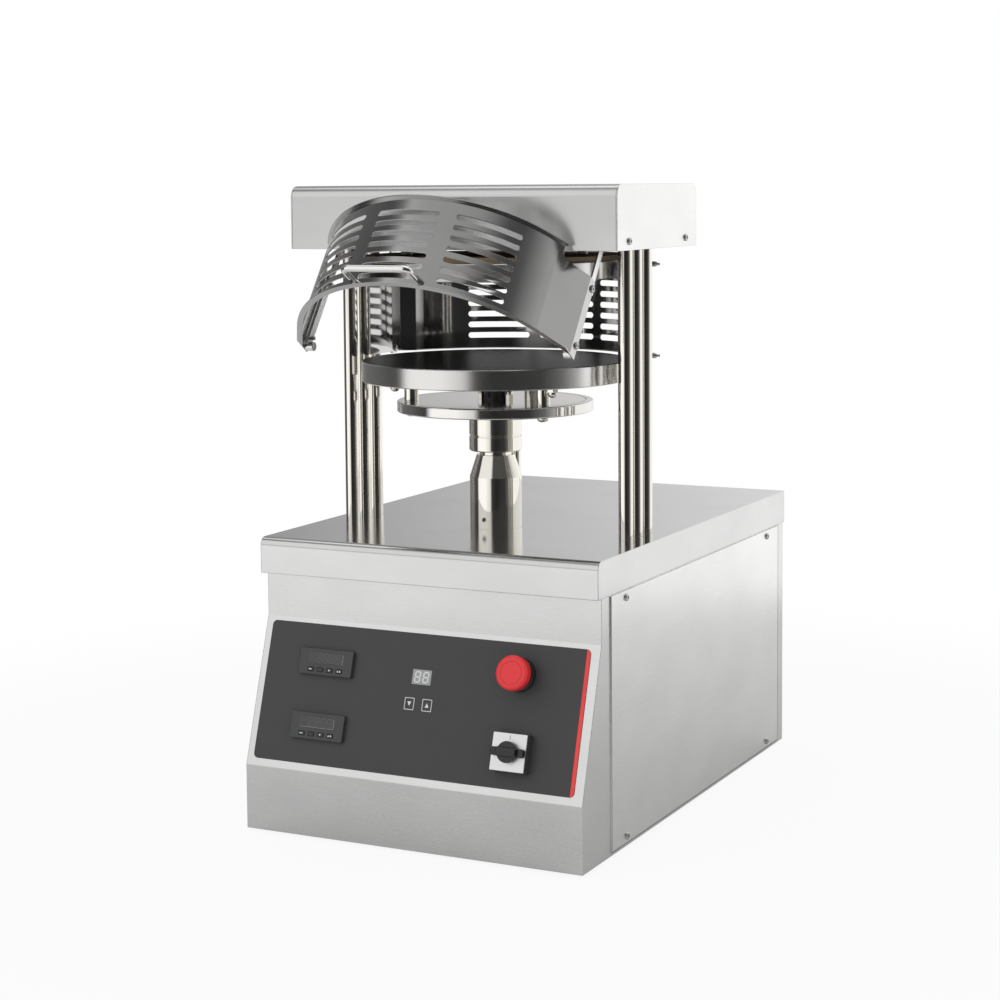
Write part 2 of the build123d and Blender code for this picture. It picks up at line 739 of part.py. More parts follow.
def dome_nut(x, y, z, across_flats, height, hex_height, up):
    """A domed cap nut on a face at z, pointing up or down."""
    side = 1 if up else -1
    low, high = sorted((z, z + side * hex_height))
    nut = hexagon(x, y, low, high, across_flats)
    cap_r = across_flats / 2 - 0.4
    low, high = sorted((z + side * hex_height * 0.5, z + side * height))
    cap = upright(x, y, low, high, cap_r)
    crown = cap.edges().group_by(Axis.Z)[-1 if up else 0]
    return nut + fillet(crown, min(cap_r * 0.85, (height - hex_height) * 0.95))


def platen_nuts():
    """Three domed nuts under the lower platen, and a small one on the disc at each side of the ram's nut."""
    nuts = []
    for x, y in ring_of(PLATEN_NUT_CIRCLE_R, STANDOFF_ANGLES):
        nuts.append(dome_nut(x, y, LOWER_PLATEN_Z, PLATEN_NUT_AF, PLATEN_NUT_H, PLATEN_NUT_HEX_H, False))
    for side in (-1, 1):
        x = side * (RAM_NUT_R + SIDE_NUT_AF * 0.6)
        nuts.append(dome_nut(x, AXIS_Y, DISC_Z + DISC_T, SIDE_NUT_AF, SIDE_NUT_H, SIDE_NUT_HEX_H, True))
    return group(nuts)


def ram_nut():
    """Round nut that clamps the disc to the ram."""
    nut = upright(0, AXIS_Y, DISC_Z + DISC_T, DISC_Z + DISC_T + RAM_NUT_H, RAM_NUT_R)
    nut = fillet(nut.edges().group_by(Axis.Z)[-1], 3.0)
    notches = [
        Pos(0, AXIS_Y, 0) * Rot(0, 0, 30 + 60 * k) * box(
            RAM_NUT_R - 2.5, RAM_NUT_R + 1, -2.5, 2.5, DISC_Z + DISC_T + 3, DISC_Z + DISC_T + RAM_NUT_H + 1)
        for k in range(6)
    ]
    return nut - notches


def lower_platen():
    """Moving heated platen with its coated working face up."""
    plate = upright(0, AXIS_Y, LOWER_PLATEN_Z, PRESS_Z, PLATEN_R)
    return chamfer(plate.edges(), 1.0)


# Bush and drive

def guide_bush():
    """Turned bush on the worktop that guides the ram, with a spigot in the frame plate."""
    cylinder = upright(0, AXIS_Y, FRAME_TOP_Z, BASE_H + BUSH_CYLINDER_H, BUSH_R)
    cone_z = BASE_H + BUSH_CYLINDER_H + BUSH_CONE_H / 2
    cone = Pos(0, AXIS_Y, cone_z) * Cone(BUSH_R, BUSH_TOP_R, BUSH_CONE_H)
    spigot = upright(0, AXIS_Y, FRAME_Z, FRAME_TOP_Z, BUSH_R - 2.0)
    flange = upright(0, AXIS_Y, FRAME_TOP_Z, FRAME_TOP_Z + 10, BUSH_R + 14)
    bore = upright(0, AXIS_Y, FRAME_Z - 1, BUSH_TOP_Z + 1, RAM_R + RUNNING_FIT)
    set_screw = bar_y(AXIS_Y - BUSH_R - 1, AXIS_Y - BUSH_R + 5, 0, BASE_H + SET_SCREW_UP, SET_SCREW_R)
    rod = upright(0, AXIS_Y + GUIDE_ROD_Y, FRAME_TOP_Z - 1, FRAME_TOP_Z + 12, GUIDE_ROD_R + 1.5)
    return cylinder + cone + spigot + flange - bore - set_screw - rod


def thrust_bearing():
    """Bearing housing under the frame plate that takes the pressing load of the nut."""
    housing = upright(0, AXIS_Y, BEARING_Z, FRAME_Z, BEARING_R)
    seat = upright(0, AXIS_Y, BEARING_Z - 1, BEARING_Z + NUT_SPIGOT_H + 0.6, NUT_SPIGOT_R + RUNNING_FIT)
    bore = upright(0, AXIS_Y, BEARING_Z - 1, FRAME_Z + 1, RAM_R + 1)
    rod = upright(0, AXIS_Y + GUIDE_ROD_Y, BEARING_Z - 1, FRAME_Z + 1, GUIDE_ROD_R + 1.5)
    return housing - seat - bore - rod


def pulley(x, y, z, radius):
    """A belt pulley with two rims around the belt's face."""
    wheel = upright(x, y, z, z + PULLEY_RIM_T, radius + BELT_T)
    wheel += upright(x, y, z, z + PULLEY_FACE_W + 2 * PULLEY_RIM_T, radius)
    return wheel + upright(x, y, z + PULLEY_FACE_W + PULLEY_RIM_T, z + PULLEY_FACE_W + 2 * PULLEY_RIM_T,
                           radius + BELT_T)


def drive_nut():
    """Driven pulley with the lift nut in its hub."""
    hub = upright(0, AXIS_Y, NUT_Z, NUT_Z + NUT_HUB_H, BEARING_R - 14)
    spigot = upright(0, AXIS_Y, NUT_Z + NUT_HUB_H, BEARING_Z + NUT_SPIGOT_H, NUT_SPIGOT_R)
    wheel = pulley(0, AXIS_Y, NUT_Z, DRIVEN_PULLEY_R)
    bore = upright(0, AXIS_Y, NUT_Z - 1, BEARING_Z + NUT_SPIGOT_H + 1, SCREW_R + RUNNING_FIT)
    return hub + spigot + wheel - bore


def belt_outline(extra):
    """The stadium shape around both pulleys, grown by extra."""
    discs = [Pos(0, AXIS_Y) * Circle(DRIVEN_PULLEY_R + extra), Pos(0, MOTOR_Y) * Circle(MOTOR_PULLEY_R + extra)]
    return make_hull((discs[0] + discs[1]).edges())


def drive_belt():
    """Flat toothed belt between the motor and the nut, drawn as a smooth band."""
    z = NUT_Z + PULLEY_RIM_T + (PULLEY_FACE_W - BELT_W) / 2
    ring = belt_outline(FACE_GAP + BELT_T) - belt_outline(FACE_GAP)
    return Pos(0, 0, z) * extrude(ring, BELT_W)


def motor_pulley():
    """Small pulley on the motor shaft."""
    wheel = pulley(0, MOTOR_Y, NUT_Z, MOTOR_PULLEY_R)
    return wheel - upright(0, MOTOR_Y, NUT_Z - 1, NUT_Z + 40, MOTOR_SHAFT_R + RUNNING_FIT)


def motor():
    """Upright gear motor that hangs under its bracket, with its shaft up."""
    body = upright(0, MOTOR_Y, MOTOR_TOP_Z - MOTOR_L, MOTOR_TOP_Z, MOTOR_R)
    body = fillet(body.edges().group_by(Axis.Z)[0], 6.0)
    shaft = upright(0, MOTOR_Y, MOTOR_TOP_Z, NUT_Z + PULLEY_FACE_W + 2 * PULLEY_RIM_T, MOTOR_SHAFT_R)
    terminal = box(MOTOR_R - 8, MOTOR_R + 22, MOTOR_Y - 28, MOTOR_Y + 28, MOTOR_TOP_Z - 90, MOTOR_TOP_Z - 30)
    return body + shaft + terminal


def motor_bracket():
    """Folded bracket that hangs the motor under the frame plate."""
    x, y0, y1 = BRACKET_HALF_W, MOTOR_Y - BRACKET_HALF_W, MOTOR_Y + BRACKET_HALF_W
    low = MOTOR_TOP_Z
    shelf = box(-x, x, y0, y1, low, low + BRACKET_T)
    webs = [box(s * x - (BRACKET_T if s > 0 else 0), s * x + (0 if s > 0 else BRACKET_T), y0, y1, low, FRAME_Z)
            for s in (-1, 1)]
    return shelf + webs - upright(0, MOTOR_Y, low - 1, low + BRACKET_T + 1, MOTOR_SHAFT_R + 2)


# Electrics

def gland_x():
    """Side position of the mains gland, in line with the electrical box."""
    return -HALF_W + EBOX_FROM_SIDE + EBOX_W / 2


def electrical_box():
    """Closed box for the relays and terminals, standing on the floor pan."""
    x = gland_x()
    y1 = BODY_D - EBOX_FROM_REAR
    shape = box(x - EBOX_W / 2, x + EBOX_W / 2, y1 - EBOX_D, y1, SHEET, SHEET + EBOX_H)
    return fillet(shape.edges().filter_by(Axis.Z), 4.0)


def inlet_gland():
    """Cable gland through the rear panel, with an open bore for a mains lead."""
    x = gland_x()
    rear = BODY_D
    body = bar_y(rear - SHEET - GLAND_IN_L, rear + GLAND_OUT_L, x, GLAND_Z, GLAND_R)
    nut = Pos(x, rear, GLAND_Z) * Rot(-90, 0, 0) * extrude(RegularPolygon(12, 6, major_radius=False), 6)
    inner = Pos(x, rear - SHEET - 5, GLAND_Z) * Rot(-90, 0, 0) * extrude(
        RegularPolygon(12, 6, major_radius=False), 5)
    bore = bar_y(rear - SHEET - GLAND_IN_L - 1, rear + GLAND_OUT_L + 1, x, GLAND_Z, GLAND_BORE_R)
    return body + nut + inner - bore


# Control panel

def control_overlay():
    """Dark printed plate on the sloped panel."""
    x0, x1 = -HALF_W + OVERLAY_LEFT, HALF_W - OVERLAY_RIGHT
    w, h = x1 - x0, OVERLAY_HIGH - OVERLAY_LOW
    plate = on_panel((x0 + x1) / 2, (OVERLAY_LOW + OVERLAY_HIGH) / 2, block(w, h, 0, OVERLAY_T, OVERLAY_CORNER_R))
    return plate - panel_cutouts()


def key_x(index):
    """Place of a key across its controller."""
    return (index - (KEYS_PER_CONTROLLER - 1) / 2) * KEY_PITCH


def controller(s):
    """Temperature controller: bezel with a display recess and key pockets, and its body behind."""
    front = OVERLAY_T + CONTROLLER_BEZEL_T
    bezel = block(CONTROLLER_W, CONTROLLER_H, OVERLAY_T, front, 2.0)
    bezel = fillet(bezel.faces().sort_by(Axis.Z)[-1].edges(), 1.0)
    body = block(CONTROLLER_BODY_W, CONTROLLER_BODY_H, -CONTROLLER_BODY_L, OVERLAY_T)
    shape = bezel + body - Pos(0, WINDOW_UP, 0) * block(WINDOW_W, WINDOW_H, front - WINDOW_T, front + 1)
    for k in range(KEYS_PER_CONTROLLER):
        pocket = block(KEY_W + 2 * KEY_GAP, KEY_H + 2 * KEY_GAP, front - KEY_POCKET, front + 1, 1.2)
        shape -= Pos(key_x(k), -KEY_DOWN, 0) * pocket
    return on_panel(CONTROLLER_X, s, shape)


def controller_key(s, index):
    """One rubber key of a controller, standing a little proud of its bezel."""
    front = OVERLAY_T + CONTROLLER_BEZEL_T + KEY_PROUD
    key = block(KEY_W, KEY_H, front - KEY_T, front, 1.2)
    key = fillet(key.faces().sort_by(Axis.Z)[-1].edges(), 0.5)
    return on_panel(CONTROLLER_X + key_x(index), s - KEY_DOWN, key)


def display_windows():
    """Dark windows of both controllers and the light lens of the timer."""
    front = OVERLAY_T + CONTROLLER_BEZEL_T
    panes = []
    for s in (UPPER_CONTROLLER_S, LOWER_CONTROLLER_S):
        panes.append(on_panel(CONTROLLER_X, s + WINDOW_UP, block(WINDOW_W, WINDOW_H, front - WINDOW_T, front)))
    lens = block(TIMER_W, TIMER_H, -SHEET - 1, OVERLAY_T - 0.2)
    panes.append(on_panel(TIMER_FROM_CENTRE, TIMER_S, lens))
    return group(panes)


def estop_collar():
    """Emergency stop collar, threaded neck and contact block behind the panel."""
    collar = drum(ESTOP_COLLAR_R, OVERLAY_T, OVERLAY_T + ESTOP_COLLAR_H)
    collar = chamfer(collar.edges().group_by(Axis.Z)[-1], 1.5)
    neck = drum(ESTOP_NECK_R, -SHEET - 6, OVERLAY_T)
    contacts = block(ESTOP_BODY_W, ESTOP_BODY_W, -SHEET - ESTOP_BODY_L, -SHEET)
    depth = ESTOP_HEAD_HIGH - PLUNGER_L - ESTOP_TRAVEL - 1
    bore = drum(PLUNGER_R + RUNNING_FIT, depth, OVERLAY_T + ESTOP_COLLAR_H + 1)
    return on_panel(ESTOP_X, ESTOP_S, collar + neck + contacts - bore)


def estop_plunger():
    """Plunger that the mushroom head turns on and pushes in."""
    top = ESTOP_HEAD_HIGH - 6
    return on_panel(ESTOP_X, ESTOP_S, drum(PLUNGER_R, ESTOP_HEAD_HIGH - PLUNGER_L, top))


def estop_head():
    """Red mushroom head with a hub bored for the plunger."""
    head = drum(ESTOP_HEAD_R, ESTOP_HEAD_LOW, ESTOP_HEAD_HIGH)
    head = fillet(head.edges().group_by(Axis.Z)[-1], 4.0)
    head = fillet(head.edges().group_by(Axis.Z)[0], 1.5)
    bore = drum(PLUNGER_R + RUNNING_FIT, ESTOP_HEAD_LOW - 1, ESTOP_HEAD_HIGH - 6 + FACE_GAP)
    return on_panel(ESTOP_X, ESTOP_S, head - bore)


def switch_base():
    """Black base of the main switch with its cam body behind the panel."""
    base = block(SWITCH_BASE_W, SWITCH_BASE_W, OVERLAY_T, OVERLAY_T + SWITCH_BASE_T, 1.5)
    body = drum(SWITCH_BODY_R, -SWITCH_BODY_L, OVERLAY_T)
    bore = drum(SPINDLE_R + RUNNING_FIT, -10, SWITCH_FACE)
    return on_panel(SWITCH_X, SWITCH_S, base + body - bore)


def switch_plate():
    """Square metal plate around the switch knob."""
    low = OVERLAY_T + SWITCH_BASE_T
    plate = block(SWITCH_PLATE_W, SWITCH_PLATE_W, low, SWITCH_FACE, 1.0)
    return on_panel(SWITCH_X, SWITCH_S, plate - drum(SPINDLE_R + 1.5, low - 1, SWITCH_FACE + 1))


def switch_knob():
    """Black lever knob on its spindle."""
    low = SWITCH_FACE + KNOB_GAP
    skirt = drum(KNOB_R, low, low + KNOB_BASE_H)
    skirt = fillet(skirt.faces().sort_by(Axis.Z)[-1].edges(), 1.0)
    lever = block(KNOB_LEVER_L, KNOB_LEVER_W, low, low + KNOB_LEVER_H, KNOB_LEVER_W * 0.3)
    lever = fillet(lever.faces().sort_by(Axis.Z)[-1].edges(), 1.0)
    grip = block(KNOB_GRIP_L, KNOB_GRIP_W, low, low + KNOB_H, KNOB_GRIP_W * 0.3)
    grip = fillet(grip.faces().sort_by(Axis.Z)[-1].edges(), 1.5)
    spindle = drum(SPINDLE_R, -9, low)
    return on_panel(SWITCH_X, SWITCH_S, skirt + lever + grip + spindle)


# Guards. Their plan is drawn about the platen's axis with the opening towards +y.

def bow(radius, fold, strip, ends, extra):
    """Points of a guard's plan line, grown outwards by extra: right end to left end."""
    mitre = ends[2]
    turn = math.radians(fold)
    fold_point = ((radius + extra) * math.cos(turn), -(radius + extra) * math.sin(turn))
    corner = (strip + extra, -ends[0] - mitre * extra)
    tip = (strip + extra, -ends[0] + ends[1])
    middle = (0, -(radius + extra))
    return tip, corner, fold_point, middle


def bow_edges(points):
    """The edges of one plan line, from the right tip round to the left tip."""
    tip, corner, fold_point, middle = points
    left = [(-x, y) for x, y in (fold_point, corner, tip)]
    return [
        Line(tip, corner), Line(corner, fold_point), ThreePointArc(fold_point, middle, left[0]),
        Line(left[0], left[1]), Line(left[1], left[2]),
    ]


def bow_band(radius, fold, strip, ends, outer, inner):
    """The plan area between two plan lines of one guard."""
    out_points = bow(radius, fold, strip, ends, outer)
    in_points = bow(radius, fold, strip, ends, inner)
    out_tip, in_tip = out_points[0], in_points[0]
    edges = bow_edges(out_points) + bow_edges(in_points)
    edges.append(Line(out_tip, in_tip))
    edges.append(Line((-out_tip[0], out_tip[1]), (-in_tip[0], in_tip[1])))
    return make_face(edges)


def slot_tool(radius, first, last, z):
    """A long slot round a guard, from one angle to another, with round ends."""
    reach = SLOT_H / 2
    margin = math.degrees(reach / radius)
    a, b = math.radians(first + margin), math.radians(last - margin)
    near, far = radius - 8, radius + 8
    mid = (a + b) / 2
    outline = make_face([
        Line((near * math.cos(a), near * math.sin(a)), (far * math.cos(a), far * math.sin(a))),
        ThreePointArc(
            (far * math.cos(a), far * math.sin(a)), (far * math.cos(mid), far * math.sin(mid)),
            (far * math.cos(b), far * math.sin(b))),
        Line((far * math.cos(b), far * math.sin(b)), (near * math.cos(b), near * math.sin(b))),
        ThreePointArc(
            (near * math.cos(b), near * math.sin(b)), (near * math.cos(mid), near * math.sin(mid)),
            (near * math.cos(a), near * math.sin(a))),
    ])
    tool = Pos(0, 0, z - reach) * extrude(outline, SLOT_H)
    for angle in (a, b):
        end = Rot(0, 90, 0) * Cylinder(reach, 16)
        tool += Rot(0, 0, math.degrees(angle)) * Pos(radius, 0, z) * end
    return tool


def slots(radius, groups, first_z, pitch):
    """All the slots of a guard."""
    return [
        slot_tool(radius, first, last, first_z + row * pitch)
        for first, last in groups for row in range(SLOT_ROWS)
    ]


FRONT_ENDS = (GUARD_STRIP_FRONT, GUARD_STRIP_W, GUARD_MITRE)


def guard_closed():
    """Frame of the guard when it hangs closed: its plan centre on the lower rim."""
    return Pos(0, PIVOT_Y - PIVOT_BEHIND_CENTRE, PIVOT_Z - PIVOT_OVER_RIM)


def tilt_open(shape):
    """Swing a piece of the closed guard about the pivots to the open stop."""
    turn = Pos(0, PIVOT_Y, PIVOT_Z) * Rot(-GUARD_OPEN_ANGLE, 0, 0) * Pos(0, -PIVOT_Y, -PIVOT_Z)
    return turn * (guard_closed() * shape)


def guard_sheet():
    """Slotted front guard: a bowed sheet with flat wings, side strips and two rims."""
    wall = extrude(bow_band(FRONT_R, GUARD_FOLD_ANGLE, STRIP_X, FRONT_ENDS, 0, -GUARD_SHEET), GUARD_H)
    low_rim = extrude(
        bow_band(FRONT_R, GUARD_FOLD_ANGLE, STRIP_X, FRONT_ENDS, GUARD_FLANGE_LOW, -GUARD_SHEET), GUARD_SHEET)
    top_rim = Pos(0, 0, GUARD_H - GUARD_SHEET) * extrude(
        bow_band(FRONT_R, GUARD_FOLD_ANGLE, STRIP_X, FRONT_ENDS, GUARD_FLANGE_TOP, -GUARD_SHEET), GUARD_SHEET)
    fold_y = -FRONT_R * math.sin(math.radians(GUARD_FOLD_ANGLE))
    far = STRIP_X + 40
    step_y, wing_y = fold_y + GUARD_STEP_FRONT, fold_y + GUARD_STEP_REAR
    notch = [
        (step_y, GUARD_H + 1), (step_y, GUARD_STEP_TOP), (wing_y, GUARD_WING_TOP),
        (20, GUARD_WING_TOP), (20, GUARD_H + 1),
    ]
    low_rim &= box(-STRIP_X, STRIP_X, -2 * FRONT_R, 20, -1, GUARD_SHEET + 1)
    sheet = wall + low_rim + top_rim - profile_x(notch, -far, far)
    holes = [
        bar_x(side * (STRIP_X - 6), side * (STRIP_X + 6), guard_screw_y(), z, SCREW_HOLE_R)
        for side in (-1, 1) for z in (GUARD_SCREW_LOW, GUARD_SCREW_HIGH)
    ]
    return tilt_open(sheet - slots(FRONT_R, FRONT_SLOT_GROUPS, SLOT_FIRST_Z, SLOT_PITCH) - holes)


def guard_screw_y():
    """Centre line of the side strips and arms, where the screws and the pivots are."""
    return PIVOT_BEHIND_CENTRE


def guard_arms():
    """Two flat bars inside the side strips that carry the guard on its pivots, with a round foot each."""
    arms = []
    for side in (-1, 1):
        y = guard_screw_y()
        outer, inner = side * ARM_X, side * (ARM_X - ARM_T)
        x0, x1 = min(outer, inner), max(outer, inner)
        arm = box(x0, x1, y - ARM_W / 2, y + ARM_W / 2, ARM_FOOT_R, PIVOT_OVER_RIM)
        arm += bar_x(x0, x1, y, PIVOT_OVER_RIM, ARM_W / 2)
        arm -= bar_x(x0 - 1, x1 + 1, y, PIVOT_OVER_RIM, PIVOT_R + RUNNING_FIT)
        for z in (GUARD_SCREW_LOW, GUARD_SCREW_HIGH):
            arm -= bar_x(x0 - 1, x1 + 1, y, z, SCREW_SHANK_R)
        arm += bar_x(outer, inner - side * ARM_FOOT_L, y, ARM_FOOT_R, ARM_FOOT_R)
        arms.append(tilt_open(arm))
    return group(arms)


def guard_screws():
    """Four screws that hold the sheet to the arms, with their heads outside."""
    screws = []
    for side in (-1, 1):
        for z in (GUARD_SCREW_LOW, GUARD_SCREW_HIGH):
            screws.append(tilt_open(pan_screw(STRIP_X, guard_screw_y(), z, side)))
    return group(screws)


def guard_handle():
    """Bent wire handle low on the front of the guard."""
    front = -(FRONT_R + HANDLE_REACH)
    foot_x = HANDLE_HALF_W + HANDLE_SPLAY
    foot = -FRONT_R * math.cos(math.asin(foot_x / FRONT_R)) + HANDLE_WIRE_R
    points = [
        (-foot_x, foot, HANDLE_FOOT_Z), (-HANDLE_HALF_W, front, HANDLE_BAR_Z),
        (HANDLE_HALF_W, front, HANDLE_BAR_Z), (foot_x, foot, HANDLE_FOOT_Z),
    ]
    path = FilletPolyline(*points, radius=HANDLE_BEND_R)
    wire = sweep(Plane(origin=points[0], z_dir=path % 0) * Circle(HANDLE_WIRE_R), path=path)
    inside = extrude(bow_band(FRONT_R, GUARD_FOLD_ANGLE, STRIP_X, FRONT_ENDS, 0, -30), GUARD_H)
    return tilt_open(wire - inside)


def guard_pivots():
    """Shoulder pins from the crosshead's end bars into the guard's arms."""
    pins = []
    for side in (-1, 1):
        inner, outer = side * (ARM_X - ARM_T - 2.5), side * END_BAR_X
        pin = bar_x(inner, outer, PIVOT_Y, PIVOT_Z, PIVOT_R)
        head = bar_x(inner, inner + side * 2.2, PIVOT_Y, PIVOT_Z, PIVOT_R + 2)
        shoulder = bar_x(side * (ARM_X + 0.6), outer, PIVOT_Y, PIVOT_Z, PIVOT_R + 2)
        pins.append(pin + head + shoulder)
    return group(pins)


REAR_ENDS = (REAR_STRIP_REAR, REAR_STRIP_L, REAR_MITRE)


def rear_frame(shape):
    """Turn a guard's plan half round and set it behind the platens."""
    return Pos(0, AXIS_Y, REAR_GUARD_Z) * (Rot(0, 0, 180) * shape)


def rear_screw_points():
    """Side and height of the screws that hold the rear guard to its arms."""
    for side in (-1, 1):
        for z in (REAR_GUARD_Z + REAR_SCREW_LOW, REAR_GUARD_Z + REAR_SCREW_HIGH):
            yield side, z


def rear_screw_holes(radius):
    """Holes for the rear guard's screws, across its strips and its arms."""
    y = AXIS_Y + REAR_ARM_BEHIND
    return [
        bar_x(side * (REAR_STRIP - 6), side * (REAR_STRIP + 6), y, z, radius)
        for side, z in rear_screw_points()
    ]


def rear_guard_arms():
    """Two flat bars that carry the rear guard under the crosshead, outside its strips."""
    arms = []
    y = AXIS_Y + REAR_ARM_BEHIND
    for side in (-1, 1):
        x0, x1 = sorted((side * REAR_STRIP, side * (REAR_STRIP + REAR_ARM_T)))
        arm = box(x0, x1, y - REAR_ARM_W / 2, y + REAR_ARM_W / 2, REAR_GUARD_Z - 2, CROSSHEAD_Z)
        arms.append(arm - rear_screw_holes(SCREW_SHANK_R))
    return group(arms)


def rear_guard():
    """Fixed slotted guard round the back of the platens, with plain side panels."""
    wall = extrude(bow_band(REAR_R, REAR_FOLD_ANGLE, REAR_STRIP, REAR_ENDS, 0, -GUARD_SHEET), GUARD_H)
    groups = [(first - 180, last - 180) for first, last in REAR_SLOT_GROUPS]
    sheet = rear_frame(wall - slots(REAR_R, groups, REAR_SLOT_FIRST_Z, REAR_SLOT_PITCH))
    return sheet - rear_screw_holes(SCREW_HOLE_R)


def rear_guard_screws():
    """Four screws through the rear guard's side panels and arms, with pointed caps outside."""
    screws = []
    y = AXIS_Y + REAR_ARM_BEHIND
    for side, z in rear_screw_points():
        face = REAR_STRIP - GUARD_SHEET
        seat = REAR_STRIP + REAR_ARM_T
        head = bar_x(side * (face - SCREW_HEAD_H), side * face, y, z, SCREW_HEAD_R)
        crown = head.faces().sort_by(Axis.X)[0 if side > 0 else -1].edges()
        head = fillet(crown, SCREW_HEAD_H * 0.6)
        shank = bar_x(side * face, side * seat, y, z, SCREW_SHANK_R)
        cap = bar_x(side * seat, side * (seat + REAR_SCREW_CAP_L), y, z, REAR_SCREW_CAP_R)
        tip = Cone(REAR_SCREW_CAP_R, 0.5, REAR_SCREW_TIP_L)
        tip_x = seat + REAR_SCREW_CAP_L + REAR_SCREW_TIP_L / 2
        screws.append(head + shank + cap + Pos(side * tip_x, y, z) * Rot(0, side * 90, 0) * tip)
    return screws


keep("floor_pan", floor_pan())
keep("feet", feet())
keep("front_fascia", front_fascia())
keep("rear_panel", rear_panel())
keep("side_cover_left", side_cover(-1))
keep("side_cover_right", side_cover(1))
keep("fixing_screws", cover_screws())
keep("worktop_cover", worktop_cover())
keep("frame_plate", frame_plate())
keep("frame_legs", frame_legs())
keep("columns", columns())
keep("column_nuts", column_nuts())
keep("crosshead", crosshead())
keep("head_cover", head_cover())
keep("head_end_plates", head_end_plates())
keep("upper_platen", upper_platen())
keep("insulation_disc", insulation_disc())
keep("hanger_studs", hanger_studs())
keep("ram_shaft", ram_shaft())
keep("ram_collar", ram_collar())
keep("support_disc", support_disc())
keep("guide_rod", guide_rod())
keep("platen_standoffs", platen_standoffs())
keep("platen_nuts", platen_nuts())
keep("ram_nut", ram_nut())
keep("lower_platen", lower_platen())
keep("guide_bush", guide_bush())
keep("thrust_bearing", thrust_bearing())
keep("drive_nut", drive_nut())
keep("drive_belt", drive_belt())
keep("motor_pulley", motor_pulley())
keep("motor", motor())
keep("motor_bracket", motor_bracket())
keep("electrical_box", electrical_box())
keep("inlet_gland", inlet_gland())
keep("control_overlay", control_overlay())
keep("upper_controller", controller(UPPER_CONTROLLER_S))
keep("lower_controller", controller(LOWER_CONTROLLER_S))
for key_number in range(KEYS_PER_CONTROLLER):
    keep(f"upper_key_{key_number + 1}", controller_key(UPPER_CONTROLLER_S, key_number))
    keep(f"lower_key_{key_number + 1}", controller_key(LOWER_CONTROLLER_S, key_number))
keep("display_windows", display_windows())
keep("estop_collar", estop_collar())
keep("estop_plunger", estop_plunger())
keep("estop_head", estop_head())
keep("switch_base", switch_base())
keep("switch_plate", switch_plate())
keep("switch_knob", switch_knob())
keep("guard_sheet", guard_sheet())
keep("guard_arms", guard_arms())
keep("guard_screws", guard_screws())
keep("guard_handle", guard_handle())
keep("guard_pivots", guard_pivots())
keep("rear_guard", rear_guard())
keep("rear_guard_arms", rear_guard_arms())

# The origin lies under the middle of the whole press, on the surface that it stands on.
boxes = [shape.bounding_box() for shape in made.values()]
MIDDLE_X = (min(b.min.X for b in boxes) + max(b.max.X for b in boxes)) / 2
MIDDLE_Y = (min(b.min.Y for b in boxes) + max(b.max.Y for b in boxes)) / 2
ORIGIN = (-MIDDLE_X, -MIDDLE_Y, FOOT_H)

for node_name, node_shape in made.items():
    export_step(Pos(*ORIGIN) * node_shape, f"parts/{node_name}.step")

print("nodes", len(made), "origin shift", [round(v, 4) for v in ORIGIN])
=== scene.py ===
"""Looks of a countertop pizza dough press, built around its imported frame.

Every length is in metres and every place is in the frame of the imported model. The press stands on
z = 0 with its control panel towards -y.
"""

import logging
import math
from collections.abc import Iterable, Sequence
from dataclasses import dataclass, field
from enum import Enum
from functools import cache

import bmesh
import bpy
from mathutils import Matrix, Vector


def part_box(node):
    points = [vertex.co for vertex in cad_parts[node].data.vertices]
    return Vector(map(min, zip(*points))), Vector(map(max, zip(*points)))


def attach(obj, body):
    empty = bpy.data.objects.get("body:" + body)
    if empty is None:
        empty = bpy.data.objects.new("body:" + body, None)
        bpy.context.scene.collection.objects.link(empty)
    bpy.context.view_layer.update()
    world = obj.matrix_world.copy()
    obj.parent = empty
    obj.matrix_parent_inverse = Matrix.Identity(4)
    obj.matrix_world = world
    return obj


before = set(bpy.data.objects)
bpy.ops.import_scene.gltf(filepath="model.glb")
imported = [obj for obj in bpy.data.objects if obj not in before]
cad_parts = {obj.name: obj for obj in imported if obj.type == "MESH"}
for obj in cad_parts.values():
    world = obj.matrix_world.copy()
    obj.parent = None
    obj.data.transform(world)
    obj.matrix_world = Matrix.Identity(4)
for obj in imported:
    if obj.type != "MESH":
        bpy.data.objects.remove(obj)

LOG = logging.getLogger("dough_press")
MM = 0.001
MICRON = 0.000001
EDGE_R = 0.5 * MM
BEND_R = 1.4 * MM
SMOOTH_ANGLE = math.radians(30.0)
WELD = 0.0001 * MM
ROWS = ("upper", "lower")
MIDDLE_RANGE = (0.3, 0.7)
WHITE = (1.0, 1.0, 1.0, 1.0)

Colour = tuple[float, float, float]
Point = tuple[float, float, float]
Flat = tuple[float, float]
Socket = bpy.types.NodeSocket


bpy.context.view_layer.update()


class Grain(Enum):
    """Way in which the fine lines of a metal finish run."""

    ALONG_X = (0.002, 1.0, 1.0)
    ALONG_Y = (1.0, 0.002, 1.0)
    ALONG_Z = (1.0, 1.0, 0.002)
    NONE = (1.0, 1.0, 1.0)


class Body(Enum):
    """Moving and fixed groups that a piece can ride on."""

    BASE = "base"
    RAM = "ram"
    GUARD = "guard"
    ESTOP_HEAD = "estop_head"
    UPPER_KEY_1 = "upper_key_1"
    UPPER_KEY_3 = "upper_key_3"
    UPPER_KEY_4 = "upper_key_4"
    LOWER_KEY_1 = "lower_key_1"
    LOWER_KEY_3 = "lower_key_3"
    LOWER_KEY_4 = "lower_key_4"


# Node trees


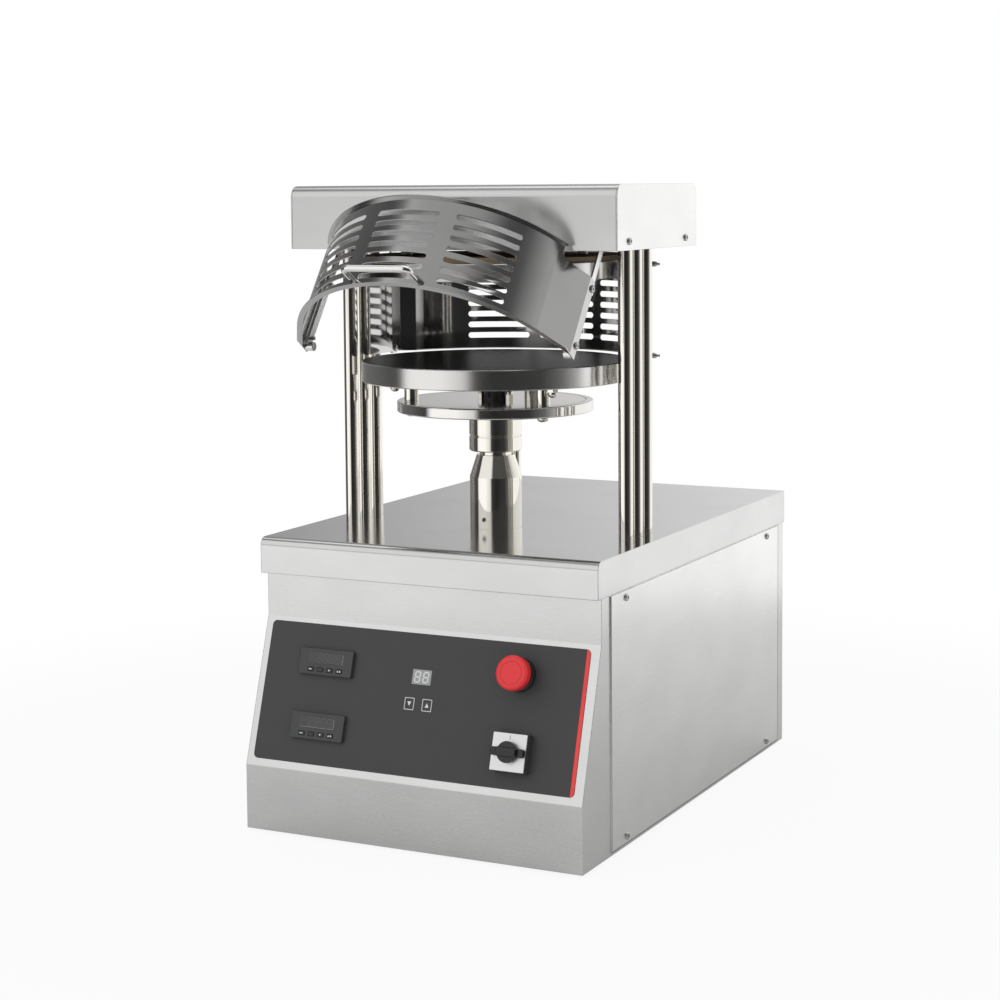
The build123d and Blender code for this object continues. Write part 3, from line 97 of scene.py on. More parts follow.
class Graph:
    """Adds and joins the nodes of one node tree."""

    def __init__(self, tree: bpy.types.NodeTree) -> None:
        """Empty the tree before anything is added."""
        self.tree = tree
        self.tree.nodes.clear()

    def add(self, kind: str, **settings: object) -> bpy.types.Node:
        """Add a node and set its properties.

        Args:
            kind: the Blender type of the node.
            settings: properties of the node by name.

        Returns:
            The new node.
        """
        node = self.tree.nodes.new(kind)
        for key, value in settings.items():
            setattr(node, key, value)
        return node

    def feed(self, node: bpy.types.Node, into: str | int, value: object) -> None:
        """Give a node's input a link or a constant.

        Args:
            node: the node that takes it.
            into: the input's name or number.
            value: the output to link, or the constant to set.
        """
        if isinstance(value, Socket):
            self.tree.links.new(value, node.inputs[into])
        else:
            node.inputs[into].default_value = value

    def place(self, kind: str = "Object") -> Socket:
        """Texture coordinates of one kind."""
        return self.add("ShaderNodeTexCoord").outputs[kind]

    def maths(self, operation: str, first: Socket, second: Socket | float) -> Socket:
        """Work out one value from two.

        Args:
            operation: what is done with them.
            first: the first value.
            second: the second one, or a constant.

        Returns:
            The result.
        """
        node = self.add("ShaderNodeMath", operation=operation)
        self.feed(node, 0, first)
        self.feed(node, 1, second)
        return node.outputs[0]

    def vector_maths(self, operation: str, first: Socket, second: Point | None = None) -> bpy.types.Node:
        """Work out a vector or a length.

        Args:
            operation: what is done.
            first: the vector it starts from.
            second: a constant vector, where the operation takes one.

        Returns:
            The node, whose vector is output 0 and whose number is output Value.
        """
        node = self.add("ShaderNodeVectorMath", operation=operation)
        self.feed(node, 0, first)
        if second is not None:
            self.feed(node, 1, second)
        return node

    def ranged(self, source: Socket, given: Flat, wanted: Flat, smooth: bool = False) -> Socket:
        """Map one range of values to another.

        Args:
            source: the value.
            given: the range it comes in.
            wanted: the range it leaves in.
            smooth: whether it eases in and out of the ends.

        Returns:
            The mapped value.
        """
        kind = "SMOOTHSTEP" if smooth else "LINEAR"
        node = self.add("ShaderNodeMapRange", interpolation_type=kind)
        self.feed(node, "Value", source)
        self.feed(node, "From Min", given[0])
        self.feed(node, "From Max", given[1])
        self.feed(node, "To Min", wanted[0])
        self.feed(node, "To Max", wanted[1])
        return node.outputs[0]

    def over(self, share: Socket, first: Socket, second: Socket) -> Socket:
        """Lay one shader over another.

        Args:
            share: how much of the second one shows.
            first: the shader below.
            second: the shader above.

        Returns:
            The mixed shader.
        """
        node = self.add("ShaderNodeMixShader")
        self.feed(node, "Fac", share)
        self.feed(node, 1, first)
        self.feed(node, 2, second)
        return node.outputs[0]

    def seen(self) -> Socket:
        """1 where a surface is looked at directly or through glass, and 0 elsewhere."""
        path = self.add("ShaderNodeLightPath")
        return self.maths("MAXIMUM", path.outputs["Is Camera Ray"], path.outputs["Is Transmission Ray"])


class MaterialGraph(Graph):
    """Node tree of one material with a surface shader."""

    def __init__(self, name: str) -> None:
        """Start a material with its output and its surface shader.

        Args:
            name: the material's name.
        """
        self.material = bpy.data.materials.new(name)
        self.material.use_nodes = True
        super().__init__(self.material.node_tree)
        self.shader = self.add("ShaderNodeBsdfPrincipled")
        self.feed(self.add("ShaderNodeOutputMaterial"), "Surface", self.shader.outputs["BSDF"])

    def noise(self, scale: float, stretch: Sequence[float], detail: float = 3.0) -> Socket:
        """A noise pattern in object coordinates.

        Args:
            scale: number of features in a metre.
            stretch: share of that scale along x, y and z.
            detail: how many finer layers are laid over the first.

        Returns:
            The pattern.
        """
        mapping = self.add("ShaderNodeMapping")
        self.feed(mapping, "Vector", self.place())
        self.feed(mapping, "Scale", [scale * share for share in stretch])
        texture = self.add("ShaderNodeTexNoise")
        self.feed(texture, "Vector", mapping.outputs["Vector"])
        self.feed(texture, "Scale", 1.0)
        self.feed(texture, "Detail", detail)
        return texture.outputs["Fac"]

    def rings(self, axis: Flat, scale: float, detail: float) -> Socket:
        """A pattern of rings round a vertical axis.

        Args:
            axis: where the axis stands.
            scale: number of rings in a metre.
            detail: how many finer layers are laid over the first.

        Returns:
            The pattern.
        """
        centred = self.vector_maths("SUBTRACT", self.place(), (axis[0], axis[1], 0.0))
        level = self.vector_maths("MULTIPLY", centred.outputs[0], (1.0, 1.0, 0.0))
        radius = self.vector_maths("LENGTH", level.outputs[0])
        texture = self.add("ShaderNodeTexNoise", noise_dimensions="1D")
        self.feed(texture, "W", radius.outputs["Value"])
        self.feed(texture, "Scale", scale)
        self.feed(texture, "Detail", detail)
        return texture.outputs["Fac"]

    def spread(self, pattern: Socket, low: float, high: float) -> Socket:
        """Map the middle range of a pattern to values from low to high."""
        return self.ranged(pattern, MIDDLE_RANGE, (low, high))

    def colour_by(self, pattern: Socket, dark: Colour, light: Colour) -> None:
        """Colour the surface by a pattern.

        Args:
            pattern: the pattern.
            dark: colour where it is darkest.
            light: colour where it is lightest.
        """
        mix = self.add("ShaderNodeMix", data_type="RGBA")
        self.feed(mix, 0, self.spread(pattern, 0.0, 1.0))
        self.feed(mix, 6, (*dark, 1.0))
        self.feed(mix, 7, (*light, 1.0))
        self.feed(self.shader, "Base Color", mix.outputs[2])

    def raise_by(self, pattern: Socket, share: float, height: float, edge_r: float) -> None:
        """Raise the surface by a pattern and round its edges.

        Args:
            pattern: the pattern.
            share: share of the height that is used.
            height: height of the relief.
            edge_r: radius to which sharp edges are rounded.
        """
        edge = self.add("ShaderNodeBevel", samples=4)
        self.feed(edge, "Radius", edge_r)
        bump = self.add("ShaderNodeBump")
        self.feed(bump, "Strength", share)
        self.feed(bump, "Distance", height)
        self.feed(bump, "Normal", edge.outputs["Normal"])
        self.feed(bump, "Height", pattern)
        self.feed(self.shader, "Normal", bump.outputs["Normal"])


# Finishes


@dataclass(frozen=True)
class Finish:
    """Surface whose colour, gloss and relief follow a broad and a fine pattern."""

    name: str
    colour: Colour = (0.5, 0.5, 0.5)
    gloss: Flat = (0.35, 0.5)
    tint: float = 0.9
    relief: float = 30.0 * MICRON
    relief_share: float = 0.3
    edge_r: float = EDGE_R

    def patterns(self, tree: MaterialGraph) -> tuple[Socket, Socket]:
        """The broad pattern of the colour and the fine one of gloss and relief."""
        raise NotImplementedError

    def constants(self) -> dict[str, float]:
        """Values that are the same all over the surface."""
        return {"Metallic": 1.0}

    def build(self) -> bpy.types.Material:
        """Make the material.

        Returns:
            The new material.
        """
        tree = MaterialGraph(self.name)
        broad, fine = self.patterns(tree)
        red, green, blue = self.colour
        tree.colour_by(broad, (red * self.tint, green * self.tint, blue * self.tint), self.colour)
        tree.feed(tree.shader, "Roughness", tree.spread(fine, *self.gloss))
        tree.raise_by(fine, self.relief_share, self.relief, self.edge_r)
        for name, value in self.constants().items():
            tree.feed(tree.shader, name, value)
        return tree.material


@dataclass(frozen=True)
class BrushedSteel(Finish):
    """Stainless sheet with fine lines, faint smears and uneven gloss."""

    tint: float = 0.93
    relief: float = 1.0 * MICRON
    relief_share: float = 0.1
    grain: Grain = Grain.ALONG_X
    grain_scale: float = 3600.0
    smear_scale: float = 9.0
    grain_detail: float = 2.0
    smear_stretch: Point = (1.0, 1.0, 1.6)
    smear_detail: float = 4.0

    def patterns(self, tree: MaterialGraph) -> tuple[Socket, Socket]:
        """Smears for the colour and brushed lines for the gloss."""
        smears = tree.noise(self.smear_scale, self.smear_stretch, self.smear_detail)
        return smears, tree.noise(self.grain_scale, self.grain.value, self.grain_detail)


@dataclass(frozen=True)
class PolishedMetal(Finish):
    """Bright turned or ground metal with hardly visible marks."""

    tint: float = 0.96
    relief: float = 4.0 * MICRON
    relief_share: float = 0.25
    mark_scale: float = 240.0
    mark_stretch: Point = (1.0, 1.0, 1.0)

    def patterns(self, tree: MaterialGraph) -> tuple[Socket, Socket]:
        """The same faint marks for colour and gloss."""
        marks = tree.noise(self.mark_scale, self.mark_stretch)
        return marks, marks


@dataclass(frozen=True)
class TurnedMetal(Finish):
    """Metal faced on a lathe: fine rings around one axis of the press."""

    colour: Colour = (0.74, 0.73, 0.71)
    gloss: Flat = (0.16, 0.28)
    tint: float = 0.92
    relief: float = 6.0 * MICRON
    axis: Flat = (0.0, 0.0)
    ring_scale: float = 900.0
    ring_detail: float = 4.0

    def patterns(self, tree: MaterialGraph) -> tuple[Socket, Socket]:
        """The same rings for colour and gloss."""
        rings = tree.rings(self.axis, self.ring_scale, self.ring_detail)
        return rings, rings


@dataclass(frozen=True)
class MouldedPlastic(Finish):
    """Plastic, rubber, paint or print with a fine texture."""

    texture_scale: float = 900.0
    cloud_share: float = 1.0 / 60.0
    shine: float = 0.5

    def patterns(self, tree: MaterialGraph) -> tuple[Socket, Socket]:
        """Soft clouds for the colour and a fine speckle for the gloss."""
        clouds = tree.noise(self.texture_scale * self.cloud_share, Grain.NONE.value)
        return clouds, tree.noise(self.texture_scale, Grain.NONE.value)

    def constants(self) -> dict[str, float]:
        """Strength of the plain reflection."""
        return {"Specular IOR Level": self.shine}


INNER_STEEL = PolishedMetal("inner_steel", colour=(0.45, 0.45, 0.44), gloss=(0.3, 0.4))


@cache
def material(finish: Finish) -> bpy.types.Material:
    """The material of a finish, made once."""
    return finish.build()


def paint(finish: Finish, *nodes: str) -> None:
    """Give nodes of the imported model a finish.

    Args:
        finish: the finish that fills every slot.
        nodes: their names.
    """
    for node in nodes:
        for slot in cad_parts[node].material_slots:
            slot.material = material(finish)


# Meshes


class Piece:
    """A mesh under construction that becomes one object of the press."""

    def __init__(self, name: str) -> None:
        """Start an empty mesh."""
        self.name = name
        self.mesh = bmesh.new()

    def ring(self, outline: Iterable[Flat], level: float, place: Matrix) -> list[bmesh.types.BMVert]:
        """Corners of an outline at one level of a plane."""
        return [self.mesh.verts.new(place @ Vector((x, y, level))) for x, y in outline]

    def band(self, first: Sequence[bmesh.types.BMVert], second: Sequence[bmesh.types.BMVert]) -> None:
        """Add the faces between two rings, either of which may be a single point.

        Args:
            first: corners of the one ring.
            second: corners of the other.
        """
        count = max(len(first), len(second))
        if count == 1:
            return
        for step in range(count):
            after = (step + 1) % count
            if len(first) == 1:
                self.mesh.faces.new((first[0], second[after], second[step]))
            elif len(second) == 1:
                self.mesh.faces.new((first[step], first[after], second[0]))
            else:
                self.mesh.faces.new((first[step], first[after], second[after], second[step]))

    def prism(self, outline: Sequence[Flat], low: float, high: float, place: Matrix) -> None:
        """Add a closed outline, drawn anticlockwise, carried from low to high.

        Args:
            outline: its corners in the plane.
            low: level where the prism starts.
            high: level where it ends.
            place: where the plane lies in the press.
        """
        bottom = self.ring(outline, low, place)
        top = self.ring(outline, high, place)
        self.mesh.faces.new(list(reversed(bottom)))
        self.mesh.faces.new(top)
        self.band(bottom, top)

    def frame_prism(
        self, outer: Sequence[Flat], inner: Sequence[Flat], low: float, high: float, place: Matrix
    ) -> None:
        """Add the band between two outlines with equally many corners.

        Args:
            outer: corners of the outside.
            inner: corners of the inside, in the same order.
            low: level where the band starts.
            high: level where it ends.
            place: where the plane lies in the press.
        """
        corners = ((outer, low), (outer, high), (inner, high), (inner, low))
        rings = [self.ring(outline, level, place) for outline, level in corners]
        for first, second in zip(rings, rings[1:] + rings[:1]):
            self.band(first, second)

    def lathe(self, profile: Sequence[Flat], place: Matrix, segments: int = 96) -> None:
        """Turn a profile of radius and height round the place's own z axis.

        Args:
            profile: points from the first end to the last; a radius of 0 closes the form.
            place: where the axis lies in the press.
            segments: number of steps round the axis.
        """
        rows = []
        for radius, height in profile:
            outline = circle(radius, segments) if radius > 0.0 else [(0.0, 0.0)]
            rows.append(self.ring(outline, height, place))
        for first, second in zip(rows, rows[1:]):
            self.band(first, second)

    def finish(self, finish: Finish, body: Body) -> None:
        """Turn the mesh into an object that rides on a body.

        Args:
            finish: its finish.
            body: the group it moves with.
        """
        bmesh.ops.remove_doubles(self.mesh, verts=self.mesh.verts, dist=WELD)
        bmesh.ops.recalc_face_normals(self.mesh, faces=self.mesh.faces)
        data = bpy.data.meshes.new(self.name)
        self.mesh.to_mesh(data)
        self.mesh.free()
        made = bpy.data.objects.new(self.name, data)
        bpy.context.scene.collection.objects.link(made)
        data.materials.append(material(finish))
        data.shade_smooth()
        data.set_sharp_from_angle(angle=SMOOTH_ANGLE)
        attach(made, body.value)
        LOG.info("made %s, which rides on %s", self.name, body.value)


def lay(
    name: str,
    finish: Finish,
    outlines: Iterable[Sequence[Flat]],
    levels: Flat,
    place: Matrix,
    body: Body = Body.BASE,
) -> None:
    """Make one piece of flat outlines that lie between the same two levels.

    Args:
        name: its name.
        finish: its finish.
        outlines: the outlines in the plane.
        levels: where they start and end, out of the plane.
        place: where the plane lies in the press.
        body: the group it moves with.
    """
    piece = Piece(name)
    for outline in outlines:
        piece.prism(outline, *levels, place)
    piece.finish(finish, body)


def rectangle(width: float, height: float, x: float = 0.0, y: float = 0.0) -> list[Flat]:
    """Corners of a rectangle about a point."""
    corners = ((-0.5, -0.5), (0.5, -0.5), (0.5, 0.5), (-0.5, 0.5))
    return [(x + side * width, y + up * height) for side, up in corners]


def rounded(width: float, height: float, radius: float, steps: int = 6) -> list[Flat]:
    """Outline of a rectangle with round corners about the middle of the plane.

    Args:
        width: size across.
        height: size up.
        radius: radius of the corners.
        steps: number of steps in each corner.

    Returns:
        The outline, anticlockwise.
    """
    outline = []
    for side, up, start in ((1, -1, -90), (1, 1, 0), (-1, 1, 90), (-1, -1, 180)):
        middle_x = side * (width / 2.0 - radius)
        middle_y = up * (height / 2.0 - radius)
        for step in range(steps + 1):
            turn = math.radians(start + 90.0 * step / steps)
            outline.append((middle_x + radius * math.cos(turn), middle_y + radius * math.sin(turn)))
    return outline


def circle(radius: float, steps: int) -> list[Flat]:
    """Outline of a circle about the middle of the plane."""
    turns = [2.0 * math.pi * step / steps for step in range(steps)]
    return [(radius * math.cos(turn), radius * math.sin(turn)) for turn in turns]


def facing(x: float, y: float, z: float, side: float) -> Matrix:
    """A plane at a point, whose outward direction is right for side 1 and left for side -1."""
    return Matrix.Translation((x, y, z)) @ Matrix.Rotation(math.radians(90.0 * side), 4, "Y")


def islands(node: str) -> list[tuple[Vector, Vector]]:
    """Lowest and highest corners of each separate solid of a node.

    Args:
        node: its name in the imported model.

    Returns:
        A pair of corners for each solid.
    """
    mesh = bmesh.new()
    mesh.from_mesh(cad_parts[node].data)
    bmesh.ops.remove_doubles(mesh, verts=mesh.verts, dist=10.0 * WELD)
    left = set(mesh.verts)
    found = []
    while left:
        border = [left.pop()]
        low, high = border[0].co.copy(), border[0].co.copy()
        while border:
            vert = border.pop()
            low = Vector(map(min, low, vert.co))
            high = Vector(map(max, high, vert.co))
            near = {edge.other_vert(vert) for edge in vert.link_edges} & left
            left -= near
            border.extend(near)
        found.append((low, high))
    mesh.free()
    return found


# Places that the pieces share


@dataclass(frozen=True)
class Press:
    """Places and sizes that several pieces share.

    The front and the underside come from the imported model; the others are the slope that the panel
    lies on, the thickness of its dark plate and that of the print.
    """

    front: float = field(default_factory=lambda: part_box("front_fascia")[0][1])
    under: float = field(default_factory=lambda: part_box("front_fascia")[0][2])
    slope_start: float = 79.0 * MM
    slope_run: float = 56.0 * MM
    slope_rise: float = 175.5 * MM
    overlay_t: float = 0.8 * MM
    ink_t: float = 0.08 * MM

    @property
    def axis(self) -> Flat:
        """Vertical axis of the ram and both platens, seen from above."""
        low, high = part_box("lower_platen")
        return (low[0] + high[0]) / 2.0, (low[1] + high[1]) / 2.0

    @property
    def ink(self) -> Flat:
        """Levels of the print on the dark plate."""
        return self.overlay_t, self.overlay_t + self.ink_t

    @property
    def panel(self) -> Matrix:
        """Plane of the sloped panel: x across, y up the slope, z out of it.

        Returns:
            The plane, whose middle is at the foot of the slope.
        """
        angle = math.atan2(self.slope_run, self.slope_rise)
        out = Vector((0.0, -math.cos(angle), math.sin(angle)))
        up = Vector((0.0, math.sin(angle), math.cos(angle)))
        across = Vector((1.0, 0.0, 0.0))
        turn = Matrix((across, up, out)).transposed().to_4x4()
        return Matrix.Translation((0.0, self.front, self.under + self.slope_start)) @ turn

    def panel_at(self, x: float, up: float) -> Matrix:
        """The panel's plane at a distance across from the middle and a distance up the slope."""
        return self.panel @ Matrix.Translation((x, up, 0.0))

    def panel_middle(self, node: str) -> Flat:
        """Place of a node that sits on the panel.

        Args:
            node: its name.

        Returns:
            Its middle across and up the slope.
        """
        low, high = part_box(node)
        middle = self.panel.inverted() @ ((Vector(low) + Vector(high)) / 2.0)
        return middle.x, middle.y


# Sub-assemblies


@dataclass
class Casing:
    """Stainless sheets of the base and the head, with their screws and what they enclose."""

    # Painted light and shade: these four brushed steels are one stainless sheet. Their colours differ only
    # to paint how brightly each face is lit, lightest on the sides and darkest on the head; grain and gloss
    # are set per sheet as well.
    front_steel: BrushedSteel = BrushedSteel(
        "brushed_front", colour=(0.72, 0.72, 0.715), gloss=(0.26, 0.28), edge_r=BEND_R
    )
    side_steel: BrushedSteel = BrushedSteel(
        "brushed_side", colour=(0.82, 0.82, 0.81), gloss=(0.27, 0.30), grain=Grain.ALONG_Y, edge_r=BEND_R
    )
    top_steel: BrushedSteel = BrushedSteel(
        "brushed_worktop", colour=(0.64, 0.64, 0.635), gloss=(0.12, 0.16), edge_r=BEND_R
    )
    head_steel: BrushedSteel = BrushedSteel(
        "brushed_head", colour=(0.62, 0.62, 0.615), gloss=(0.2, 0.26), edge_r=BEND_R
    )
    screw_steel: PolishedMetal = PolishedMetal("screw_steel", colour=(0.55, 0.54, 0.52), gloss=(0.2, 0.3))
    foot_rubber: MouldedPlastic = MouldedPlastic("foot_rubber", colour=(0.03, 0.03, 0.03))
    motor_paint: MouldedPlastic = MouldedPlastic("motor_paint", colour=(0.12, 0.13, 0.15))
    box_grey: MouldedPlastic = MouldedPlastic("box_grey", colour=(0.4, 0.41, 0.42))
    gland_black: MouldedPlastic = MouldedPlastic("gland_black", colour=(0.03, 0.03, 0.03))
    belt_rubber: MouldedPlastic = MouldedPlastic("belt_rubber", colour=(0.02, 0.02, 0.02))
    bronze: PolishedMetal = PolishedMetal("bronze", colour=(0.6, 0.45, 0.25), gloss=(0.2, 0.3))

    def build(self) -> None:
        """Give every sheet and every inner part its finish; the sheets' colours carry painted light and
        shade.
        """
        paint(self.front_steel, "front_fascia", "rear_panel", "floor_pan")
        paint(self.side_steel, "side_cover_left", "side_cover_right", "head_end_plates")
        paint(self.top_steel, "worktop_cover")
        paint(self.head_steel, "head_cover")
        paint(self.screw_steel, "fixing_screws")
        paint(self.foot_rubber, "feet")
        paint(INNER_STEEL, "frame_plate", "frame_legs", "motor_bracket", "thrust_bearing")
        paint(INNER_STEEL, "column_nuts", "crosshead", "motor_pulley")
        paint(self.motor_paint, "motor")
        paint(self.box_grey, "electrical_box")
        paint(self.gland_black, "inlet_gland")
        paint(self.belt_rubber, "drive_belt")
        paint(self.bronze, "drive_nut")


@dataclass
class ShadowGaps:
    """Painted shade: thin near-black lines round the side covers that stand in for the shadow in the gaps
    where sheet meets sheet.
    """

    width: float = 0.75 * MM
    depth: float = 0.06 * MM
    # Painted shadow of the gaps round the side covers.
    dark: MouldedPlastic = MouldedPlastic("painted_gap_shade", colour=(0.03, 0.03, 0.03), gloss=(0.6, 0.7))

    def build(self) -> None:
        """Lay a thin dark line of painted shadow along the four edges of each side cover."""
        for side, node in ((-1.0, "side_cover_left"), (1.0, "side_cover_right")):
            low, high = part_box(node)
            face = high[0] if side > 0.0 else low[0]
            place = facing(face, (low[1] + high[1]) / 2.0, (low[2] + high[2]) / 2.0, side)
            tall, deep = high[2] - low[2], high[1] - low[1]
            outer = rectangle(tall, deep)
            inner = rectangle(tall - 2.0 * self.width, deep - 2.0 * self.width)
            piece = Piece(f"{node}_gap_shade")
            piece.frame_prism(outer, inner, -self.depth, self.depth, place)
            piece.finish(self.dark, Body.BASE)


@dataclass
class SocketShades:
    """Painted shade in the hexagon sockets of the round screw heads on both sides: flat near-black hexagons
    stand in for the shaded recesses.
    """

    # Painted shade: near-black colour of the socket recesses.
    recess_shade: MouldedPlastic = MouldedPlastic("painted_socket_shade", colour=(0.012, 0.012, 0.012))
    width: float = 3.6 * MM
    lift: float = 0.05 * MM
    head_min: float = 8.0 * MM

    def build(self) -> None:
        """Lay a dark hexagon of painted shade on every large enough head of both sets of screws."""
        hexagon = circle(self.width / math.sqrt(3.0), 6)
        for node, body in (("fixing_screws", Body.BASE), ("guard_screws", Body.GUARD)):
            heads = [box for box in islands(node) if self.wide_enough(*box)]
            if not heads:
                continue
            piece = Piece(f"{node}_socket_shades")
            for low, high in heads:
                side = 1.0 if low.x + high.x > 0.0 else -1.0
                face = high.x if side > 0.0 else low.x
                place = facing(face, (low.y + high.y) / 2.0, (low.z + high.z) / 2.0, side)
                piece.prism(hexagon, -self.lift, self.lift, place)
            piece.finish(self.recess_shade, body)

    def wide_enough(self, low: Vector, high: Vector) -> bool:
        """Whether a screw between two corners has a head that shows a socket."""
        return max(high.y - low.y, high.z - low.z) >= self.head_min


@dataclass
class Tower:
    """Columns, platens, ram and everything that the ram carries."""

    press: Press
    chrome: PolishedMetal = PolishedMetal(
        "column_chrome", colour=(0.80, 0.77, 0.71), gloss=(0.03, 0.07), mark_stretch=(1.0, 1.0, 0.02)
    )
    disc_colour: Colour = (0.76, 0.74, 0.71)
    disc_gloss: Flat = (0.06, 0.12)
    dark_nut: MouldedPlastic = MouldedPlastic("dark_nut", colour=(0.05, 0.05, 0.05))
    board: MouldedPlastic = MouldedPlastic(
        "insulating_board", colour=(0.23, 0.17, 0.11), gloss=(0.6, 0.8), texture_scale=350.0
    )

    def build(self) -> None:
        """Give the tower's parts their finishes."""
        axis = self.press.axis
        turned_metal = TurnedMetal("turned_aluminium", axis=axis)
        disc = TurnedMetal("polished_disc", axis=axis, colour=self.disc_colour, gloss=self.disc_gloss)
        paint(self.chrome, "columns", "ram_shaft", "ram_collar", "guide_bush")
        paint(self.chrome, "platen_standoffs", "platen_nuts", "guide_rod")
        paint(disc, "support_disc")
        paint(self.dark_nut, "ram_nut")
        paint(turned_metal, "lower_platen", "upper_platen")
        paint(INNER_STEEL, "hanger_studs")
        paint(self.board, "insulation_disc")


@dataclass
class PlatenCoatings:
    """Dark coating on the working faces of both platens."""

    press: Press
    coating: MouldedPlastic = MouldedPlastic(
        "platen_coating", colour=(0.018, 0.018, 0.019), gloss=(0.3, 0.42), texture_scale=700.0, shine=0.25
    )
    thickness: float = 0.15 * MM
    margin: float = 2.0 * MM
    segments: int = 160

    def build(self) -> None:
        """Coat the top of the lower platen and the underside of the upper one."""
        self.coat("lower_coating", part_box("lower_platen"), Body.RAM, upward=True)
        self.coat("upper_coating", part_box("upper_platen"), Body.BASE, upward=False)

    def coat(self, name: str, box: tuple[Point, Point], body: Body, upward: bool) -> None:
        """Lay a thin disc on one platen.

        Args:
            name: name of the coating.
            box: lowest and highest corners of the platen.
            body: the group it moves with.
            upward: whether the working face looks up.
        """
        low, high = box
        radius = (high[0] - low[0]) / 2.0 - self.margin
        face = high[2] if upward else low[2]
        far = face + self.thickness if upward else face - self.thickness
        profile = [(0.0, face), (radius, face), (radius, far), (0.0, far)]
        piece = Piece(name)
        piece.lathe(profile, Matrix.Translation((*self.press.axis, 0.0)), self.segments)
        piece.finish(self.coating, body)


@dataclass
class SmallScrews:
    """Two screws in the rim of the insulating board and one under the lower platen."""

    press: Press
    steel: PolishedMetal = PolishedMetal("small_screw_steel", colour=(0.8, 0.78, 0.74), gloss=(0.15, 0.2))
    board_angles: Flat = (-38.0, -35.0)
    board_profile: tuple[Flat, ...] = (
        (0.0, 1.2 * MM), (1.0 * MM, 1.0 * MM), (1.7 * MM, 0.3 * MM), (1.8 * MM, -0.5 * MM)
    )
    board_segments: int = 16
    platen_x: float = 25.6 * MM
    platen_y: float = -139.9 * MM
    platen_profile: tuple[Flat, ...] = (
        (3.0 * MM, 0.5 * MM), (3.0 * MM, -1.4 * MM), (2.4 * MM, -2.0 * MM), (0.0, -2.2 * MM)
    )
    platen_segments: int = 20

    def build(self) -> None:
        """Turn the three screws."""
        x, y = self.press.axis
        low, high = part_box("insulation_disc")
        radius = (high[0] - low[0]) / 2.0
        middle = (low[2] + high[2]) / 2.0
        board = Piece("board_screws")
        for degrees in self.board_angles:
            turn = math.radians(degrees)
            outward = Matrix.Rotation(turn, 4, "Z") @ Matrix.Rotation(math.radians(90.0), 4, "Y")
            rim = Matrix.Translation((x + radius * math.cos(turn), y + radius * math.sin(turn), middle))
            board.lathe(self.board_profile, rim @ outward, self.board_segments)
        board.finish(self.steel, Body.BASE)
        under = Piece("platen_screw")
        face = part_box("lower_platen")[0][2]
        place = Matrix.Translation((x + self.platen_x, y + self.platen_y, face))
        under.lathe(self.platen_profile, place, self.platen_segments)
        under.finish(self.steel, Body.RAM)


@dataclass
class Guards:
    """Front guard that swings and rear guard that stays."""

    front_steel: BrushedSteel = BrushedSteel("guard_steel", colour=(0.55, 0.545, 0.54), gloss=(0.13, 0.17))
    # Painted light: the arms are the guard's stainless steel, coloured far lighter than the sheet to paint
    # the light that falls on them; their grain runs up and down.
    arm_steel: BrushedSteel = BrushedSteel(
        "arm_steel", colour=(0.86, 0.86, 0.85), gloss=(0.24, 0.3), grain=Grain.ALONG_Z
    )
    rear_steel: PolishedMetal = PolishedMetal(
        "rear_guard_steel", colour=(0.58, 0.575, 0.565), gloss=(0.04, 0.08)
    )
    screw_steel: PolishedMetal = PolishedMetal(
        "guard_screw_steel", colour=(0.5, 0.5, 0.48), gloss=(0.15, 0.25)
    )
    wire: PolishedMetal = PolishedMetal("handle_chrome", colour=(0.85, 0.85, 0.84), gloss=(0.03, 0.06))

    def build(self) -> None:
        """Give both guards their finishes."""
        paint(self.front_steel, "guard_sheet")
        paint(self.arm_steel, "guard_arms")
        paint(self.screw_steel, "guard_screws", "guard_pivots")
        paint(self.wire, "guard_handle")
        paint(self.rear_steel, "rear_guard", "rear_guard_arms")


@dataclass
class PanelPlate:
    """Dark plate on the slope, with a red stripe along its right edge."""

    press: Press
    film: MouldedPlastic = MouldedPlastic(
        "overlay_film", colour=(0.052, 0.052, 0.053), gloss=(0.42, 0.5), texture_scale=1800.0,
        relief=20.0 * MICRON, tint=0.97, shine=0.35
    )
    red: MouldedPlastic = MouldedPlastic("print_red", colour=(0.86, 0.05, 0.045), gloss=(0.35, 0.45))
    stripe_left: float = 208.3 * MM
    stripe_right: float = 213.0 * MM
    stripe_low: float = 9.0 * MM
    stripe_high: float = 178.0 * MM
    corner_r: float = 6.0 * MM
    corner_steps: int = 8

    def build(self) -> None:
        """Dress the plate and print the stripe."""
        paint(self.film, "control_overlay")
        outline = [(self.stripe_left, self.stripe_low)]
        outline += self.corner(-90.0, self.stripe_low + self.corner_r)
        outline += self.corner(0.0, self.stripe_high - self.corner_r)
        outline.append((self.stripe_left, self.stripe_high))
        lay("panel_stripe", self.red, [outline], self.press.ink, self.press.panel)

    def corner(self, start: float, middle_y: float) -> list[Flat]:
        """The part of a round corner of the plate that lies on the stripe.

        Args:
            start: angle in degrees at which the quarter turn starts.
            middle_y: place of its centre up the slope.

        Returns:
            Its points, anticlockwise.
        """
        points = []
        for step in range(self.corner_steps + 1):
            turn = math.radians(start + 90.0 * step / self.corner_steps)
            x = self.stripe_right - self.corner_r + self.corner_r * math.cos(turn)
            if x > self.stripe_left:
                points.append((x, middle_y + self.corner_r * math.sin(turn)))
        return points


class Segment(Enum):
    """The seven bars of a digit as ends on a 2 by 4 grid."""

    TOP = ((0, 4), (2, 4))
    UPPER_RIGHT = ((2, 4), (2, 2))
    LOWER_RIGHT = ((2, 2), (2, 0))
    BOTTOM = ((2, 0), (0, 0))
    LOWER_LEFT = ((0, 0), (0, 2))
    UPPER_LEFT = ((0, 2), (0, 4))
    MIDDLE = ((0, 2), (2, 2))


